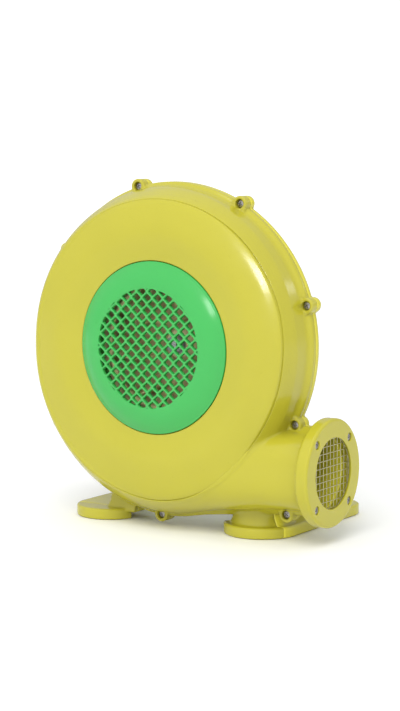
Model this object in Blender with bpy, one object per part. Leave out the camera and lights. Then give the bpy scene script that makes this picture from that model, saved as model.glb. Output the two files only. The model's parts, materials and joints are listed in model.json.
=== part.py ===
"""Centrifugal air blower for inflatables: two-piece scroll casing on moulded feet, intake
grille, round outlet with a wire guard, and a motor with its cover, switch and tied cord.

Frame: metres, +Z up. The intake faces -Y (the front), the motor is at +Y (the rear), and
the outlet blows towards +X. The origin is on the ground at the middle of the footprint.
Pieces are drawn with x = 0 at the impeller axis and y = 0 at the plane where the casing
halves meet, and are moved to the origin at the end.
"""
import bpy
import bmesh
import math
from mathutils import Vector, Matrix

for old_object in list(bpy.data.objects):
    bpy.data.objects.remove(old_object, do_unlink=True)

# ---------------------------------------------------------------- driving dimensions
AXIS_Z = 0.2025          # impeller axis above the ground
AXIS_POINT = (0, 0, AXIS_Z)
GAP = 0.0003             # clearance between touching pieces
WALL = 0.0028            # casing wall
BACK_Y = 0.054           # outer face of the rear half

INTAKE_R = 0.0740        # eye of the casing under the intake cover
COVER_R = 0.0925         # intake cover outer radius
COVER_SEAT_Y = -0.0546   # floor of the recess the cover sits in

OUTLET_X = 0.190         # outlet ring's face
OUTLET_Z = AXIS_Z - 0.126
BORE_R = 0.0386          # clear radius of the outlet
DUCT_R = 0.0416          # outside of the duct at the outlet
COLLAR_R = 0.0535        # disc on the duct's end that the outlet ring caps
RING_BOLT_CIRCLE_R = 0.0483
FRONT_RING_BOLTS = (135, 225)    # degrees from +Y, in the front half's collar
REAR_RING_BOLTS = (45, 315)
RING_BOLTS = (45, 135, 225, 315)

MOTOR_BOLT_CIRCLE_R = 0.0400
MOTOR_BOLTS = (45, 135, 225, 315)    # degrees from +X
MOTOR_BOLT_HOLE_R = 0.0025
COVER_SCREW_CIRCLE_R = 0.0790
COVER_SCREWS = (30, 150, 210, 330)
COVER_SCREW_HOLE_R = 0.0020
MOTOR_COVER_R = 0.074
MOTOR_COVER_BACK_Y = 0.1480

SHAFT_R = 0.0060
SHAFT_BORE_R = SHAFT_R + GAP


# ---------------------------------------------------------------- mesh helpers
def link(ob):
    bpy.context.scene.collection.objects.link(ob)
    return ob


def mesh_object(name, verts, faces):
    """Mesh object with its normals turned outwards."""
    mesh = bpy.data.meshes.new(name)
    mesh.from_pydata([tuple(v) for v in verts], [], faces)
    bm = bmesh.new()
    bm.from_mesh(mesh)
    bmesh.ops.recalc_face_normals(bm, faces=bm.faces)
    if bm.calc_volume(signed=True) < 0:
        bmesh.ops.reverse_faces(bm, faces=bm.faces)
    bm.to_mesh(mesh)
    bm.free()
    return link(bpy.data.objects.new(name, mesh))


def boolean(target, tool, operation):
    """Applies a Boolean to the target and removes the tool."""
    modifier = target.modifiers.new("b", "BOOLEAN")
    modifier.operation = operation
    modifier.solver = "EXACT"
    modifier.object = tool
    bpy.context.view_layer.update()
    depsgraph = bpy.context.evaluated_depsgraph_get()
    mesh = bpy.data.meshes.new_from_object(target.evaluated_get(depsgraph))
    target.modifiers.clear()
    bm = bmesh.new()
    bm.from_mesh(mesh)
    bmesh.ops.remove_doubles(bm, verts=bm.verts, dist=0.000004)
    bmesh.ops.dissolve_degenerate(bm, dist=0.000002, edges=bm.edges)
    bm.to_mesh(mesh)
    bm.free()
    target.data = mesh
    bpy.data.objects.remove(tool, do_unlink=True)


def add(target, tool):
    boolean(target, tool, "UNION")


def cut(target, tool):
    boolean(target, tool, "DIFFERENCE")


def joined(obs):
    """Makes one cutter of several that don't touch."""
    bm = bmesh.new()
    for ob in obs:
        bm.from_mesh(ob.data)
    mesh = bpy.data.meshes.new("cutters")
    bm.to_mesh(mesh)
    bm.free()
    for ob in obs:
        bpy.data.objects.remove(ob, do_unlink=True)
    return link(bpy.data.objects.new("cutters", mesh))


def tidy(ob):
    """Merges coincident points and dissolves the slivers that a Boolean leaves."""
    bm = bmesh.new()
    bm.from_mesh(ob.data)
    bmesh.ops.remove_doubles(bm, verts=bm.verts, dist=0.00001)
    bmesh.ops.dissolve_limit(bm, angle_limit=math.radians(0.05), verts=bm.verts, edges=bm.edges)
    bmesh.ops.triangulate(bm, faces=bm.faces)
    bm.to_mesh(ob.data)
    bm.free()
    return ob


def finish(ob, mat, sharp_angle=30):
    """Gives a piece its material, and smooth shading with edges sharp above an angle."""
    ob.data.materials.clear()
    ob.data.materials.append(mat)
    ob.data.shade_smooth()
    ob.data.set_sharp_from_angle(angle=math.radians(sharp_angle))
    return ob


# ---------------------------------------------------------------- solids
def axis_frame(axis):
    """(u, v, w) with w along the axis and u x v = w."""
    if axis == "Y":
        return Vector((0, 0, 1)), Vector((1, 0, 0)), Vector((0, 1, 0))
    if axis == "X":
        return Vector((0, 1, 0)), Vector((0, 0, 1)), Vector((1, 0, 0))
    return Vector((1, 0, 0)), Vector((0, 1, 0)), Vector((0, 0, 1))


def lathe(name, profile, centre, axis="Y", sides=32, closed=True, phase=0.0):
    """Turns (radius, height) points about an axis. An open profile starts and ends on it."""
    u, v, w = axis_frame(axis)
    centre = Vector(centre)
    verts, rings = [], []
    for radius, height in profile:
        start = len(verts)
        if radius < 1e-9:
            verts.append(centre + w * height)
            rings.append([start] * sides)
            continue
        for i in range(sides):
            a = 2 * math.pi * (i + phase) / sides
            verts.append(centre + w * height + u * (radius * math.cos(a))
                         + v * (radius * math.sin(a)))
        rings.append(list(range(start, start + sides)))
    pairs = list(zip(rings, rings[1:]))
    if closed:
        pairs.append((rings[-1], rings[0]))
    faces = []
    for lower, upper in pairs:
        for i in range(sides):
            j = (i + 1) % sides
            face = [lower[i], lower[j], upper[j], upper[i]]
            face = [vert for k, vert in enumerate(face) if vert != face[k - 1]]
            if len(set(face)) >= 3:
                faces.append(face)
    return mesh_object(name, verts, faces)


def rod(name, centre, radius, lo, hi, axis="Y", sides=16, phase=0.0):
    profile = [(0, lo), (radius, lo), (radius, hi), (0, hi)]
    return lathe(name, profile, centre, axis, sides, closed=False, phase=phase)


def tube(name, inner_r, outer_r, lo, hi, sides):
    """Tube about the impeller axis."""
    profile = [(inner_r, lo), (outer_r, lo), (outer_r, hi), (inner_r, hi)]
    return lathe(name, profile, AXIS_POINT, "Y", sides)


def prism(name, points, lo, hi, axis="Y"):
    """Extrudes a polygon. Its points are (x, z) for Y, (x, y) for Z and (y, z) for X."""
    def at(point, height):
        if axis == "Y":
            return (point[0], height, point[1])
        if axis == "Z":
            return (point[0], point[1], height)
        return (height, point[0], point[1])
    n = len(points)
    verts = [at(p, lo) for p in points] + [at(p, hi) for p in points]
    faces = [list(range(n)), list(range(2 * n - 1, n - 1, -1))]
    faces += [[i, (i + 1) % n, n + (i + 1) % n, n + i] for i in range(n)]
    return mesh_object(name, verts, faces)


def rect(x0, y0, x1, y1):
    return [(x0, y0), (x1, y0), (x1, y1), (x0, y1)]


def box(name, lo, hi):
    return prism(name, rect(lo[0], lo[1], hi[0], hi[1]), lo[2], hi[2], "Z")


def loft(name, loops):
    """Solid through loops of equal point count, capped at both ends."""
    n = len(loops[0])
    verts = [p for loop in loops for p in loop]
    faces = [list(range(n)), list(range(len(verts) - 1, len(verts) - n - 1, -1))]
    for k in range(len(loops) - 1):
        for i in range(n):
            j = (i + 1) % n
            faces.append([k * n + i, k * n + j, (k + 1) * n + j, (k + 1) * n + i])
    return mesh_object(name, verts, faces)


# ---------------------------------------------------------------- outlines and places
def circle_points(radius, angles, z):
    """(x, z) or (y, z) at these angles in degrees, on a circle whose centre is at height z."""
    return [(radius * math.cos(math.radians(a)), z + radius * math.sin(math.radians(a)))
            for a in angles]


def turned(points, angle, z=AXIS_Z):
    """Turns flat points by an angle in radians and lifts them to height z."""
    c, s = math.cos(angle), math.sin(angle)
    return [(c * p - s * q, z + s * p + c * q) for p, q in points]


def arc(cx, cy, radius, start, end, steps):
    angles = [math.radians(start + (end - start) * i / steps) for i in range(steps + 1)]
    return [(cx + radius * math.cos(a), cy + radius * math.sin(a)) for a in angles]


def superellipse(half_a, half_b, exponent, sides):
    points = []
    for i in range(sides):
        a = 2 * math.pi * i / sides
        c, s = math.cos(a), math.sin(a)
        points.append((half_a * math.copysign(abs(c) ** (2 / exponent), c),
                       half_b * math.copysign(abs(s) ** (2 / exponent), s)))
    return points


def bolt_holes(radius, places, lo, hi, axis="Y"):
    """Round cutters at (x, z) places along Y, or (y, z) places along X."""
    return [rod("hole", (0, p, z) if axis == "X" else (p, 0, z), radius, lo, hi, axis, 8)
            for p, z in places]


def lattice_cutter(centres, corners, z, lo, hi, axis):
    """Cutter with a prism of this outline at each centre, measured from height z."""
    return joined([prism("hole", [(p + dp, z + q + dq) for dp, dq in corners], lo, hi, axis)
                   for p, q in centres])


# ---------------------------------------------------------------- materials
def material(name, colour, roughness, metallic=0.0):
    mat = bpy.data.materials.new(name)
    mat.use_nodes = True
    shader = mat.node_tree.nodes["Principled BSDF"]
    shader.inputs["Base Color"].default_value = (*colour, 1.0)
    shader.inputs["Roughness"].default_value = roughness
    shader.inputs["Metallic"].default_value = metallic
    mat.diffuse_color = (*colour, 1.0)
    return mat


def metal(name, colour, roughness):
    return material(name, colour, roughness, metallic=1.0)


YELLOW = material("casing_yellow", colour=(0.66, 0.62, 0.08), roughness=0.28)
GREEN = material("cover_green", colour=(0.07, 0.62, 0.18), roughness=0.25)
STEEL = metal("screw_steel", colour=(0.45, 0.45, 0.47), roughness=0.35)
WIRE = metal("guard_wire", colour=(0.75, 0.75, 0.70), roughness=0.30)
WHEEL = material("impeller_grey", colour=(0.06, 0.06, 0.06), roughness=0.45)
SHAFT = metal("shaft_steel", colour=(0.55, 0.55, 0.57), roughness=0.25)
LAMINATION = metal("lamination_steel", colour=(0.20, 0.20, 0.21), roughness=0.45)
COPPER = metal("winding_copper", colour=(0.45, 0.15, 0.05), roughness=0.40)
ALUMINIUM = metal("bell_aluminium", colour=(0.60, 0.61, 0.62), roughness=0.40)
BLACK = material("black_plastic", colour=(0.02, 0.02, 0.02), roughness=0.40)
RED = material("rocker_red", colour=(0.42, 0.012, 0.008), roughness=0.30)
RUBBER = material("cord_rubber", colour=(0.02, 0.02, 0.02), roughness=0.65)
BRASS = metal("plug_brass", colour=(0.70, 0.52, 0.22), roughness=0.30)
CAP = material("capacitor_case", colour=(0.70, 0.70, 0.68), roughness=0.40)


def screws(name, profile, axis, places):
    """Screws that share one mesh, turned from (radius, height) points, at these places."""
    first = lathe(name + "_1", profile, (0, 0, 0), axis, 8, closed=False)
    finish(first, STEEL)
    first.location = places[0]
    for k, place in enumerate(places[1:], 2):
        copy = link(bpy.data.objects.new("%s_%d" % (name, k), first.data))
        copy.location = place


# ---------------------------------------------------------------- scroll shape
CREASE_Y = -0.0545       # where the domed face meets the scroll shoulder
LIP_Y = 0.0065           # half thickness of the seam lip
LIP_ROOT_Y = 0.0120
LIP_H = 0.0060
REAR_LIP_STEP = 0.0005   # the rear half's lip is thinner by this
BOWL_FLAT_R = 0.083      # flat back of the rear half
BOWL_START_Y = 0.004     # where the rear bowl's curve springs from
SCROLL_START = -35.0     # first angle, degrees from +X towards +Z
SHELL_OVERRUN = 0.004    # how far a half's skin runs past the seam before it is trimmed
CAVITY_OVERRUN = 0.006

# (angle in degrees, radius of the seam lip's edge)
LIP_TABLE = [
    (-35, 0.1650), (-20, 0.1665), (0, 0.1680), (20, 0.1690), (40, 0.1700), (60, 0.1716),
    (80, 0.1740), (97, 0.1770), (120, 0.1797), (150, 0.1832), (180, 0.1868), (210, 0.1905),
    (230, 0.1935), (245, 0.1950), (255, 0.1955), (262, 0.1940), (270, 0.1915), (280, 0.1885),
    (295, 0.1820), (310, 0.1740), (325, 0.1650)]
# (angle in degrees, radius of the crease in the front face)
CREASE_TABLE = [
    (-35, 0.1530), (-20, 0.1550), (0, 0.1575), (20, 0.1588), (60, 0.1593), (90, 0.1590),
    (150, 0.1592), (180, 0.1600), (220, 0.1640), (250, 0.1665), (275, 0.1668), (290, 0.1635),
    (305, 0.1570), (325, 0.1530)]
# (radius, y) of the front face, from the intake cover's seat to near the crease
DOME_TABLE = [(0.0945, -0.0560), (0.106, -0.0582), (0.122, -0.0595), (0.136, -0.0592),
              (0.146, -0.0580), (0.153, -0.0562)]
DOME_CENTRE_Y = -0.0560


def interpolate(table, t):
    """Linear value at t, which lies within the table."""
    for (a, value_a), (b, value_b) in zip(table, table[1:]):
        if t <= b:
            return value_a + (value_b - value_a) * (t - a) / (b - a)


def lip_radius(angle):
    return interpolate(LIP_TABLE, angle)


def wall_radius(angle):
    return lip_radius(angle) - LIP_H


def shoulder_point(angle, k):
    """(radius, y) on the shoulder; k runs from 0 at the crease to 1 at the side wall."""
    crease_r, wall_r = interpolate(CREASE_TABLE, angle), wall_radius(angle)
    spread = max(0.0, min(1.0, (wall_r - crease_r - 0.003) / 0.016))
    wall_y = -0.038 + 0.014 * spread
    exponent = 2.0 - 0.55 * spread
    a = math.pi / 2 * k
    return (crease_r + (wall_r - crease_r) * math.sin(a) ** (2 / exponent),
            wall_y + (CREASE_Y - wall_y) * math.cos(a) ** (2 / exponent))


def front_profile(angle, inset=0.0):
    """(radius, y) from the front face's centre to past the seam, inset metres inside the skin."""
    wall_r, lip_r = wall_radius(angle), lip_radius(angle)
    points = [(0.0, DOME_CENTRE_Y + inset)]
    for r, y in DOME_TABLE:
        points.append((r - (inset * 0.3 if r > 0.14 else 0), y + inset))
    for k in (0.0, 0.3, 0.6, 1.0):
        r, y = shoulder_point(angle, k)
        a = math.pi / 2 * k
        points.append((r - inset * max(0.35, math.sin(a)), y + inset * math.cos(a)))
    if inset:
        points += [(wall_r + 0.0008 - inset, CAVITY_OVERRUN), (0.0, CAVITY_OVERRUN)]
    else:
        points += [(wall_r + 0.0008, -LIP_ROOT_Y), (lip_r, -LIP_Y),
                   (lip_r, SHELL_OVERRUN), (0.0, SHELL_OVERRUN)]
    return points


def rear_profile(angle, inset=0.0):
    """(radius, y) from past the seam to the flat back's centre, inset metres inside the skin."""
    wall_r, lip_r = wall_radius(angle), lip_radius(angle)
    if inset:
        points = [(0.0, -CAVITY_OVERRUN), (wall_r + 0.0006 - inset, -CAVITY_OVERRUN)]
    else:
        points = [(0.0, -SHELL_OVERRUN), (lip_r, -SHELL_OVERRUN),
                  (lip_r, LIP_Y - REAR_LIP_STEP), (wall_r + 0.0006, LIP_ROOT_Y - REAR_LIP_STEP)]
    bowl_width = wall_r - BOWL_FLAT_R
    bowl_depth = BACK_Y - BOWL_START_Y
    for k in (0.30, 0.5, 0.7, 0.85, 1.0):
        a = math.pi / 2 * k
        c, s = math.cos(a), math.sin(a)
        points.append((BOWL_FLAT_R + bowl_width * c - inset * c,
                       BOWL_START_Y + bowl_depth * s - inset * s))
    points.append((0.0, BACK_Y - inset))
    return points


def polar_solid(name, profile, inset, sides):
    """Solid about the impeller axis whose (radius, y) profile changes with the angle."""
    verts, columns = [], []
    for i in range(sides):
        angle = SCROLL_START + 360.0 * i / sides
        a = math.radians(angle)
        points = profile(angle, inset)
        last_k = len(points) - 1
        column = []
        for k, (r, y) in enumerate(points):
            # every column shares the two points on the axis
            if i and k in (0, last_k):
                column.append(columns[0][k])
                continue
            column.append(len(verts))
            verts.append((r * math.cos(a), y, AXIS_Z + r * math.sin(a)))
        columns.append(column)
    faces = []
    for a, b in zip(columns, columns[1:] + columns[:1]):
        faces.append([a[0], a[1], b[1]])
        for k in range(1, last_k - 1):
            faces.append([a[k], a[k + 1], b[k + 1], b[k]])
        faces.append([a[last_k - 1], a[last_k], b[last_k - 1]])
    return mesh_object(name, verts, faces)


# ---------------------------------------------------------------- outlet duct
# (x, centre z above the axis, half height, half depth)
DUCT = [(-0.030, -0.118, 0.058, 0.0470), (0.000, -0.124, 0.0575, 0.0480),
        (0.030, -0.1265, 0.0540, 0.0480), (0.060, -0.1270, 0.0500, 0.0470),
        (0.090, -0.1270, 0.0465, 0.0450), (0.120, -0.1262, 0.0435, 0.0430),
        (0.145, -0.1260, 0.0418, 0.0418), (0.1745, -0.1260, DUCT_R, DUCT_R)]
DUCT_BORE_SHIFT = 0.0013     # the bore's stations lie this much further along +X
DUCT_BORE_END_X = 0.185
DUCT_LIP_END_X = 0.1720


def duct_loops(sides, inset=0.0, shift=0.0):
    loops = []
    for x, centre_z, half_z, half_y in DUCT:
        x += shift
        exponent = 2.0 if x > 0.10 else 2.3
        loops.append([(x, y, AXIS_Z + centre_z + z) for y, z in
                      superellipse(half_y - inset, half_z - inset, exponent, sides)])
    return loops


def duct_bore():
    """Bore from the second station to past the collar."""
    loops = duct_loops(22, DUCT_R - BORE_R, DUCT_BORE_SHIFT)[1:]
    loops.append([(DUCT_BORE_END_X, y, z) for x, y, z in loops[-1]])
    return loft("duct_bore", loops)


def duct_lip(side):
    """Slab along the duct whose edges stand out as lips above and below it."""
    loops = []
    for x, centre_z, half_z, half_y in DUCT[1:]:
        lip_z = half_z + LIP_H - 0.0008
        root_z = half_z - 0.001
        if x > 0.16:
            x = DUCT_LIP_END_X
        outline = [(-0.0032, lip_z), (LIP_Y, lip_z), (LIP_ROOT_Y, root_z),
                   (LIP_ROOT_Y, -root_z), (LIP_Y, -lip_z), (-0.0032, -lip_z)]
        loops.append([(x, side * y, AXIS_Z + centre_z + z) for y, z in outline])
    return loft("lip", loops)


# ---------------------------------------------------------------- feet
PAD_T = 0.0118           # foot pad thickness
PAD_BACK = 0.183         # rear edge of a pad
PAD_CORNER = 0.030       # rear corners of a pad
PAD_OVERRUN = 0.0035     # how far a pad runs past the seam before it is trimmed
SCALLOP_END_Y = 0.135
SCALLOP_DEPTH = 0.036
COLUMN_ROOT_Z = PAD_T - 0.002
RIB_X = 0.1020
RIB_HALF_T = 0.0028

# by side, 1 for +X and -1 for -X
PADS = {1: (0.0921, 0.0167, 0.0415), -1: (0.1060, 0.0128, 0.0393)}   # round end: |x|, y, radius
COLUMN_TOP_Z = {1: AXIS_Z - 0.1640, -1: AXIS_Z - 0.1500}
RIB_TOP_Z = {1: AXIS_Z - 0.135, -1: AXIS_Z - 0.130}

# (lower outline, upper outline) of the rectangular columns
FRONT_LEFT_COLUMN = (rect(-0.1010, -0.0075, -0.0680, 0.0029),
                     rect(-0.0990, -0.0060, -0.0683, 0.0029))
REAR_COLUMNS = {1: (rect(0.0700, -0.0029, 0.1240, 0.0420), rect(0.0730, -0.0029, 0.1190, 0.0300)),
                -1: (rect(-0.1010, -0.0029, -0.0680, 0.0420),
                     rect(-0.0990, -0.0029, -0.0690, 0.0300))}


def pad_front(side, inset=0.0, back=PAD_OVERRUN):
    """Front part of a foot pad: a round end cut off just past the seam."""
    cx, cy, radius = PADS[side]
    radius -= inset
    dip = math.degrees(math.asin((cy - back) / radius))
    return [(side * x, y) for x, y in arc(cx, cy, radius, 180 + dip, 360 - dip, 14)]


def pad_rear(side):
    """Rear part of a pad: straight outside edge, round rear corners, scalloped inside edge."""
    cx, cy, r = PADS[side]
    corner = PAD_CORNER
    points = [(cx + math.sqrt(r * r - cy * cy), -PAD_OVERRUN), (cx + r, cy)]
    points += arc(cx + r - corner, PAD_BACK - corner, corner, 0, 90, 6)
    points += arc(cx - r + corner, PAD_BACK - corner, corner, 90, 180, 6)
    for i in range(9):
        y = SCALLOP_END_Y - SCALLOP_END_Y * i / 8
        scallop = SCALLOP_DEPTH * math.sin(math.pi * y / SCALLOP_END_Y)
        points.append((cx - r + 0.0015 + scallop, y))
    points.append((points[-1][0], -PAD_OVERRUN))
    return [(side * x, y) for x, y in points]


def add_pad(casing, outline):
    add(casing, prism("pad", outline, 0.0, PAD_T, "Z"))


def add_column(casing, side, lower, upper):
    """Column from inside the pad to the scroll, flaring towards the pad."""
    z0, z1 = COLUMN_ROOT_Z, COLUMN_TOP_Z[side]
    loops = []
    for k in (0.0, 0.35, 1.0):
        flare = (1 - k) ** 2
        loops.append([(a[0] * flare + b[0] * (1 - flare), a[1] * flare + b[1] * (1 - flare),
                       z0 + (z1 - z0) * k) for a, b in zip(lower, upper)])
    add(casing, loft("column", loops))


def add_rib(casing, side):
    """Rib that carries the pad back under the motor."""
    top = RIB_TOP_Z[side]
    outline = [(0.020, COLUMN_ROOT_Z), (0.160, COLUMN_ROOT_Z), (0.150, PAD_T + 0.004),
               (0.060, top * 0.62), (0.020, top)]
    x = side * RIB_X
    add(casing, prism("rib", outline, x - RIB_HALF_T, x + RIB_HALF_T, "X"))


def add_front_feet(casing):
    # +X foot: its wide column follows the pad's round end
    lower = pad_front(1, 0.0085, 0.0028)
    cx, cy, _ = PADS[1]
    upper = [(cx + (x - cx) * 0.88, cy + (y - cy) * 0.88) for x, y in lower]
    add_column(casing, 1, lower, upper)
    add_pad(casing, pad_front(1))
    # -X foot: narrow column close to the seam
    add_column(casing, -1, *FRONT_LEFT_COLUMN)
    add_pad(casing, pad_front(-1))


def add_rear_feet(casing):
    for side in (1, -1):
        add_column(casing, side, *REAR_COLUMNS[side])
        add_rib(casing, side)
        add_pad(casing, pad_rear(side))


# ---------------------------------------------------------------- casing halves
SEAM = GAP / 2           # each half stops this far from the seam plane
# (x, z above the axis)
SEAM_SCREWS = [(-0.0520, 0.1701), (0.0790, 0.1535), (0.1608, 0.0490), (0.1475, -0.0774),
               (0.1378, -0.1740), (-0.0222, -0.1905), (-0.1504, 0.0977), (-0.1636, -0.0983)]
SEAM_SCREW_POINTS = [(x, 0, AXIS_Z + z) for x, z in SEAM_SCREWS]
LUG_R = 0.0078
LUG_Y = 0.0086           # outer face of a screw lug, from the seam
LUG_OVERRUN = 0.0023
SEAM_HOLE_R = 0.0021
SEAM_BORE_R = 0.0047     # recess for the screw's head
SEAM_BORE_Y = -0.0052
SHAFT_HOLE_R = 0.0240


def casing_shell(name, profile, side):
    """Solid half with its duct, lip, collar and lugs; side is -1 for the front, 1 for the rear."""
    ob = polar_solid(name, profile, 0.0, 36)
    add(ob, loft("duct", duct_loops(26)))
    add(ob, duct_lip(side))
    add(ob, rod("collar", (0, 0, OUTLET_Z), COLLAR_R, 0.1730, 0.1782, "X", 32))
    lug_lo, lug_hi = sorted((side * LUG_Y, -side * LUG_OVERRUN))
    for place in SEAM_SCREW_POINTS:
        add(ob, rod("lug", place, LUG_R, lug_lo, lug_hi, "Y", 16, phase=0.37))
    return ob


def hollow(casing, profile):
    cut(casing, polar_solid("cavity", profile, WALL, 30))
    cut(casing, duct_bore())


def collar_holes(angles):
    places = circle_points(RING_BOLT_CIRCLE_R, angles, OUTLET_Z)
    return bolt_holes(0.0019, places, 0.160, 0.190, "X")


def build_front_casing():
    ob = casing_shell("front_casing", front_profile, -1)
    add_front_feet(ob)
    hollow(ob, front_profile)
    # seat and eye for the intake cover
    cut(ob, rod("seat", AXIS_POINT, COVER_R + 0.0012, -0.070, COVER_SEAT_Y, "Y", 40))
    cut(ob, rod("eye", AXIS_POINT, INTAKE_R, -0.080, -0.040, "Y", 36))
    cut(ob, box("trim", (-0.4, -SEAM, -0.1), (0.4, 0.3, 0.6)))
    hole = [(0, -0.030), (SEAM_BORE_R, -0.030), (SEAM_BORE_R, SEAM_BORE_Y),
            (SEAM_HOLE_R, SEAM_BORE_Y), (SEAM_HOLE_R, 0.010), (0, 0.010)]
    holes = collar_holes(FRONT_RING_BOLTS)
    holes += [lathe("hole", hole, place, "Y", 10, closed=False, phase=0.23)
              for place in SEAM_SCREW_POINTS]
    cut(ob, joined(holes))
    finish(tidy(ob), YELLOW)


def build_rear_casing():
    ob = casing_shell("rear_casing", rear_profile, 1)
    add_rear_feet(ob)
    hollow(ob, rear_profile)
    cut(ob, rod("shaft_hole", AXIS_POINT, SHAFT_HOLE_R, 0.040, 0.070, "Y", 32))
    cut(ob, box("trim", (-0.4, -0.3, -0.1), (0.4, SEAM, 0.6)))
    holes = collar_holes(REAR_RING_BOLTS)
    holes += bolt_holes(MOTOR_BOLT_HOLE_R,
                        circle_points(MOTOR_BOLT_CIRCLE_R, MOTOR_BOLTS, AXIS_Z), 0.040, 0.070)
    holes += bolt_holes(COVER_SCREW_HOLE_R,
                        circle_points(COVER_SCREW_CIRCLE_R, COVER_SCREWS, AXIS_Z), 0.040, 0.070)
    holes += [rod("hole", place, SEAM_HOLE_R, -0.010, 0.0070, "Y", 10, phase=0.23)
              for place in SEAM_SCREW_POINTS]
    cut(ob, joined(holes))
    finish(tidy(ob), YELLOW)


def build_casing_screws():
    profile = [(0, 0.0), (0.0032, 0.0), (0.0042, 0.0010), (0.0042, 0.0026), (0.0018, 0.0026),
               (0.0018, 0.0130), (0, 0.0142)]
    screws("casing_screw", profile, "Y", [(x, -0.0082, z) for x, _, z in SEAM_SCREW_POINTS])


# ---------------------------------------------------------------- intake cover
COVER_RIM_Y = -0.0550    # plane of the cover's rim
COVER_FACE_Y = -0.0687   # plane of the cover's grille
COVER_BACK_Y = COVER_SEAT_Y - GAP
COVER_SIDES = 36
GRILLE_R = 0.0640        # radius of the perforated zone
GRILLE_PITCH = 0.0096    # edge pitch of the square lattice, which stands on its corner
GRILLE_BAR = 0.0026
GRILLE_T = 0.0026


def grille_plate():
    """Disc with a lattice of square holes turned 45 degrees."""
    plate = rod("grille", AXIS_POINT, GRILLE_R + 0.0015, COVER_FACE_Y + 0.0002,
                COVER_FACE_Y + GRILLE_T, "Y", COVER_SIDES, phase=0.5)
    half_hole = (GRILLE_PITCH - GRILLE_BAR) / 2
    reach = int(GRILLE_R / GRILLE_PITCH) + 2
    centres = []
    for i in range(-reach, reach + 1):
        for j in range(-reach, reach + 1):
            u, v = i * GRILLE_PITCH, j * GRILLE_PITCH
            x, z = (u - v) / math.sqrt(2), (u + v) / math.sqrt(2)
            if math.hypot(x, z) + half_hole * 1.30 <= GRILLE_R:
                centres.append((x, z))
    d = half_hole * math.sqrt(2)
    diamond = [(d, 0), (0, d), (-d, 0), (0, -d)]
    cut(plate, lattice_cutter(centres, diamond, AXIS_Z,
                              COVER_FACE_Y - 0.002, COVER_FACE_Y + 0.006, "Y"))
    return plate


def build_intake_cover():
    face = COVER_FACE_Y
    hole_r = GRILLE_R - 0.0005
    profile = [(hole_r, face), (0.0715, face + 0.0012), (0.0790, face + 0.0038),
               (0.0855, face + 0.0078), (0.0900, face + 0.0112), (COVER_R, COVER_RIM_Y - 0.0006),
               (COVER_R - 0.0003, COVER_BACK_Y), (0.0885, COVER_BACK_Y), (0.0775, face + 0.0062),
               (hole_r, face + GRILLE_T)]
    ob = lathe("intake_cover", profile, AXIS_POINT, "Y", COVER_SIDES)
    # skirt that drops into the eye
    add(ob, tube("skirt", 0.0710, INTAKE_R - 0.0006, face + 0.0030, -0.0480, COVER_SIDES))
    add(ob, grille_plate())
    finish(tidy(ob), GREEN)


# ---------------------------------------------------------------- outlet ring and guard
OUTLET_POINT = (0, 0, OUTLET_Z)
RING_R = 0.0573
RING_T = 0.0120
RING_BORE_Y_Z = circle_points(RING_BOLT_CIRCLE_R, RING_BOLTS, OUTLET_Z)   # (y, z) of the screws
GUARD_R = 0.0401
GUARD_PITCH = 0.0073
GUARD_WIRE = 0.0013


def build_outlet_ring():
    face, inner_x = OUTLET_X, OUTLET_X - RING_T
    socket_r = COLLAR_R + GAP
    profile = [(BORE_R, face - 0.0010), (BORE_R + 0.0010, face), (RING_R - 0.0035, face),
               (RING_R - 0.0010, face - 0.0010), (RING_R, face - 0.0035),
               (RING_R, inner_x - 0.0045), (socket_r, inner_x - 0.0045),
               (socket_r, inner_x + 0.0005), (0.0404, inner_x + 0.0005),
               (0.0404, face - 0.0030), (BORE_R, face - 0.0030)]
    ring = lathe("outlet_ring", profile, OUTLET_POINT, "X", 30)
    hole = [(0, 0.195), (0.0044, 0.195), (0.0044, face - 0.0040), (0.0021, face - 0.0040),
            (0.0021, 0.170), (0, 0.170)]
    cut(ring, joined([lathe("hole", hole, (0, y, z), "X", 10, closed=False)
                      for y, z in RING_BORE_Y_Z]))
    finish(tidy(ring), YELLOW)


def build_outlet_guard():
    """Wire mesh disc just behind the ring's inner lip."""
    plate = rod("outlet_guard", OUTLET_POINT, GUARD_R, OUTLET_X - 0.0046, OUTLET_X - 0.0033,
                "X", 24)
    h = (GUARD_PITCH - GUARD_WIRE) / 2
    centres = []
    for i in range(-6, 7):
        for j in range(-6, 7):
            y, z = (i + 0.5) * GUARD_PITCH, (j + 0.5) * GUARD_PITCH
            if math.hypot(y, z) + h * 1.42 <= GUARD_R - 0.0012:
                centres.append((y, z))
    cut(plate, lattice_cutter(centres, rect(-h, -h, h, h), OUTLET_Z,
                              OUTLET_X - 0.012, OUTLET_X + 0.004, "X"))
    finish(tidy(plate), WIRE)


def build_outlet_screws():
    profile = [(0, 0.0), (0.0030, 0.0), (0.0039, -0.0012), (0.0039, -0.0030), (0.0016, -0.0030),
               (0.0016, -0.0150), (0, -0.0160)]
    screws("outlet_screw", profile, "X", [(OUTLET_X - 0.0007, y, z) for y, z in RING_BORE_Y_Z])


# ---------------------------------------------------------------- rotating parts
IMPELLER_R = 0.1180
BLADES = 9
BLADE_ROOT_R = 0.0560
BLADE_TIP_R = IMPELLER_R - 0.0008
BLADE_HALF_T = 0.0011
BLADE_SWEEP = 0.62       # radians that a blade leans back at its tip
ROTOR_R = 0.0315
FAN_VANES = 8


def pivot(name, location):
    empty = link(bpy.data.objects.new(name, None))
    empty.location = location
    return empty


def on_spin(ob, spin):
    """Hangs a piece on the impeller axis without moving it."""
    ob.data.transform(Matrix.Translation((0, 0, -AXIS_Z)))
    ob.parent = spin


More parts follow.
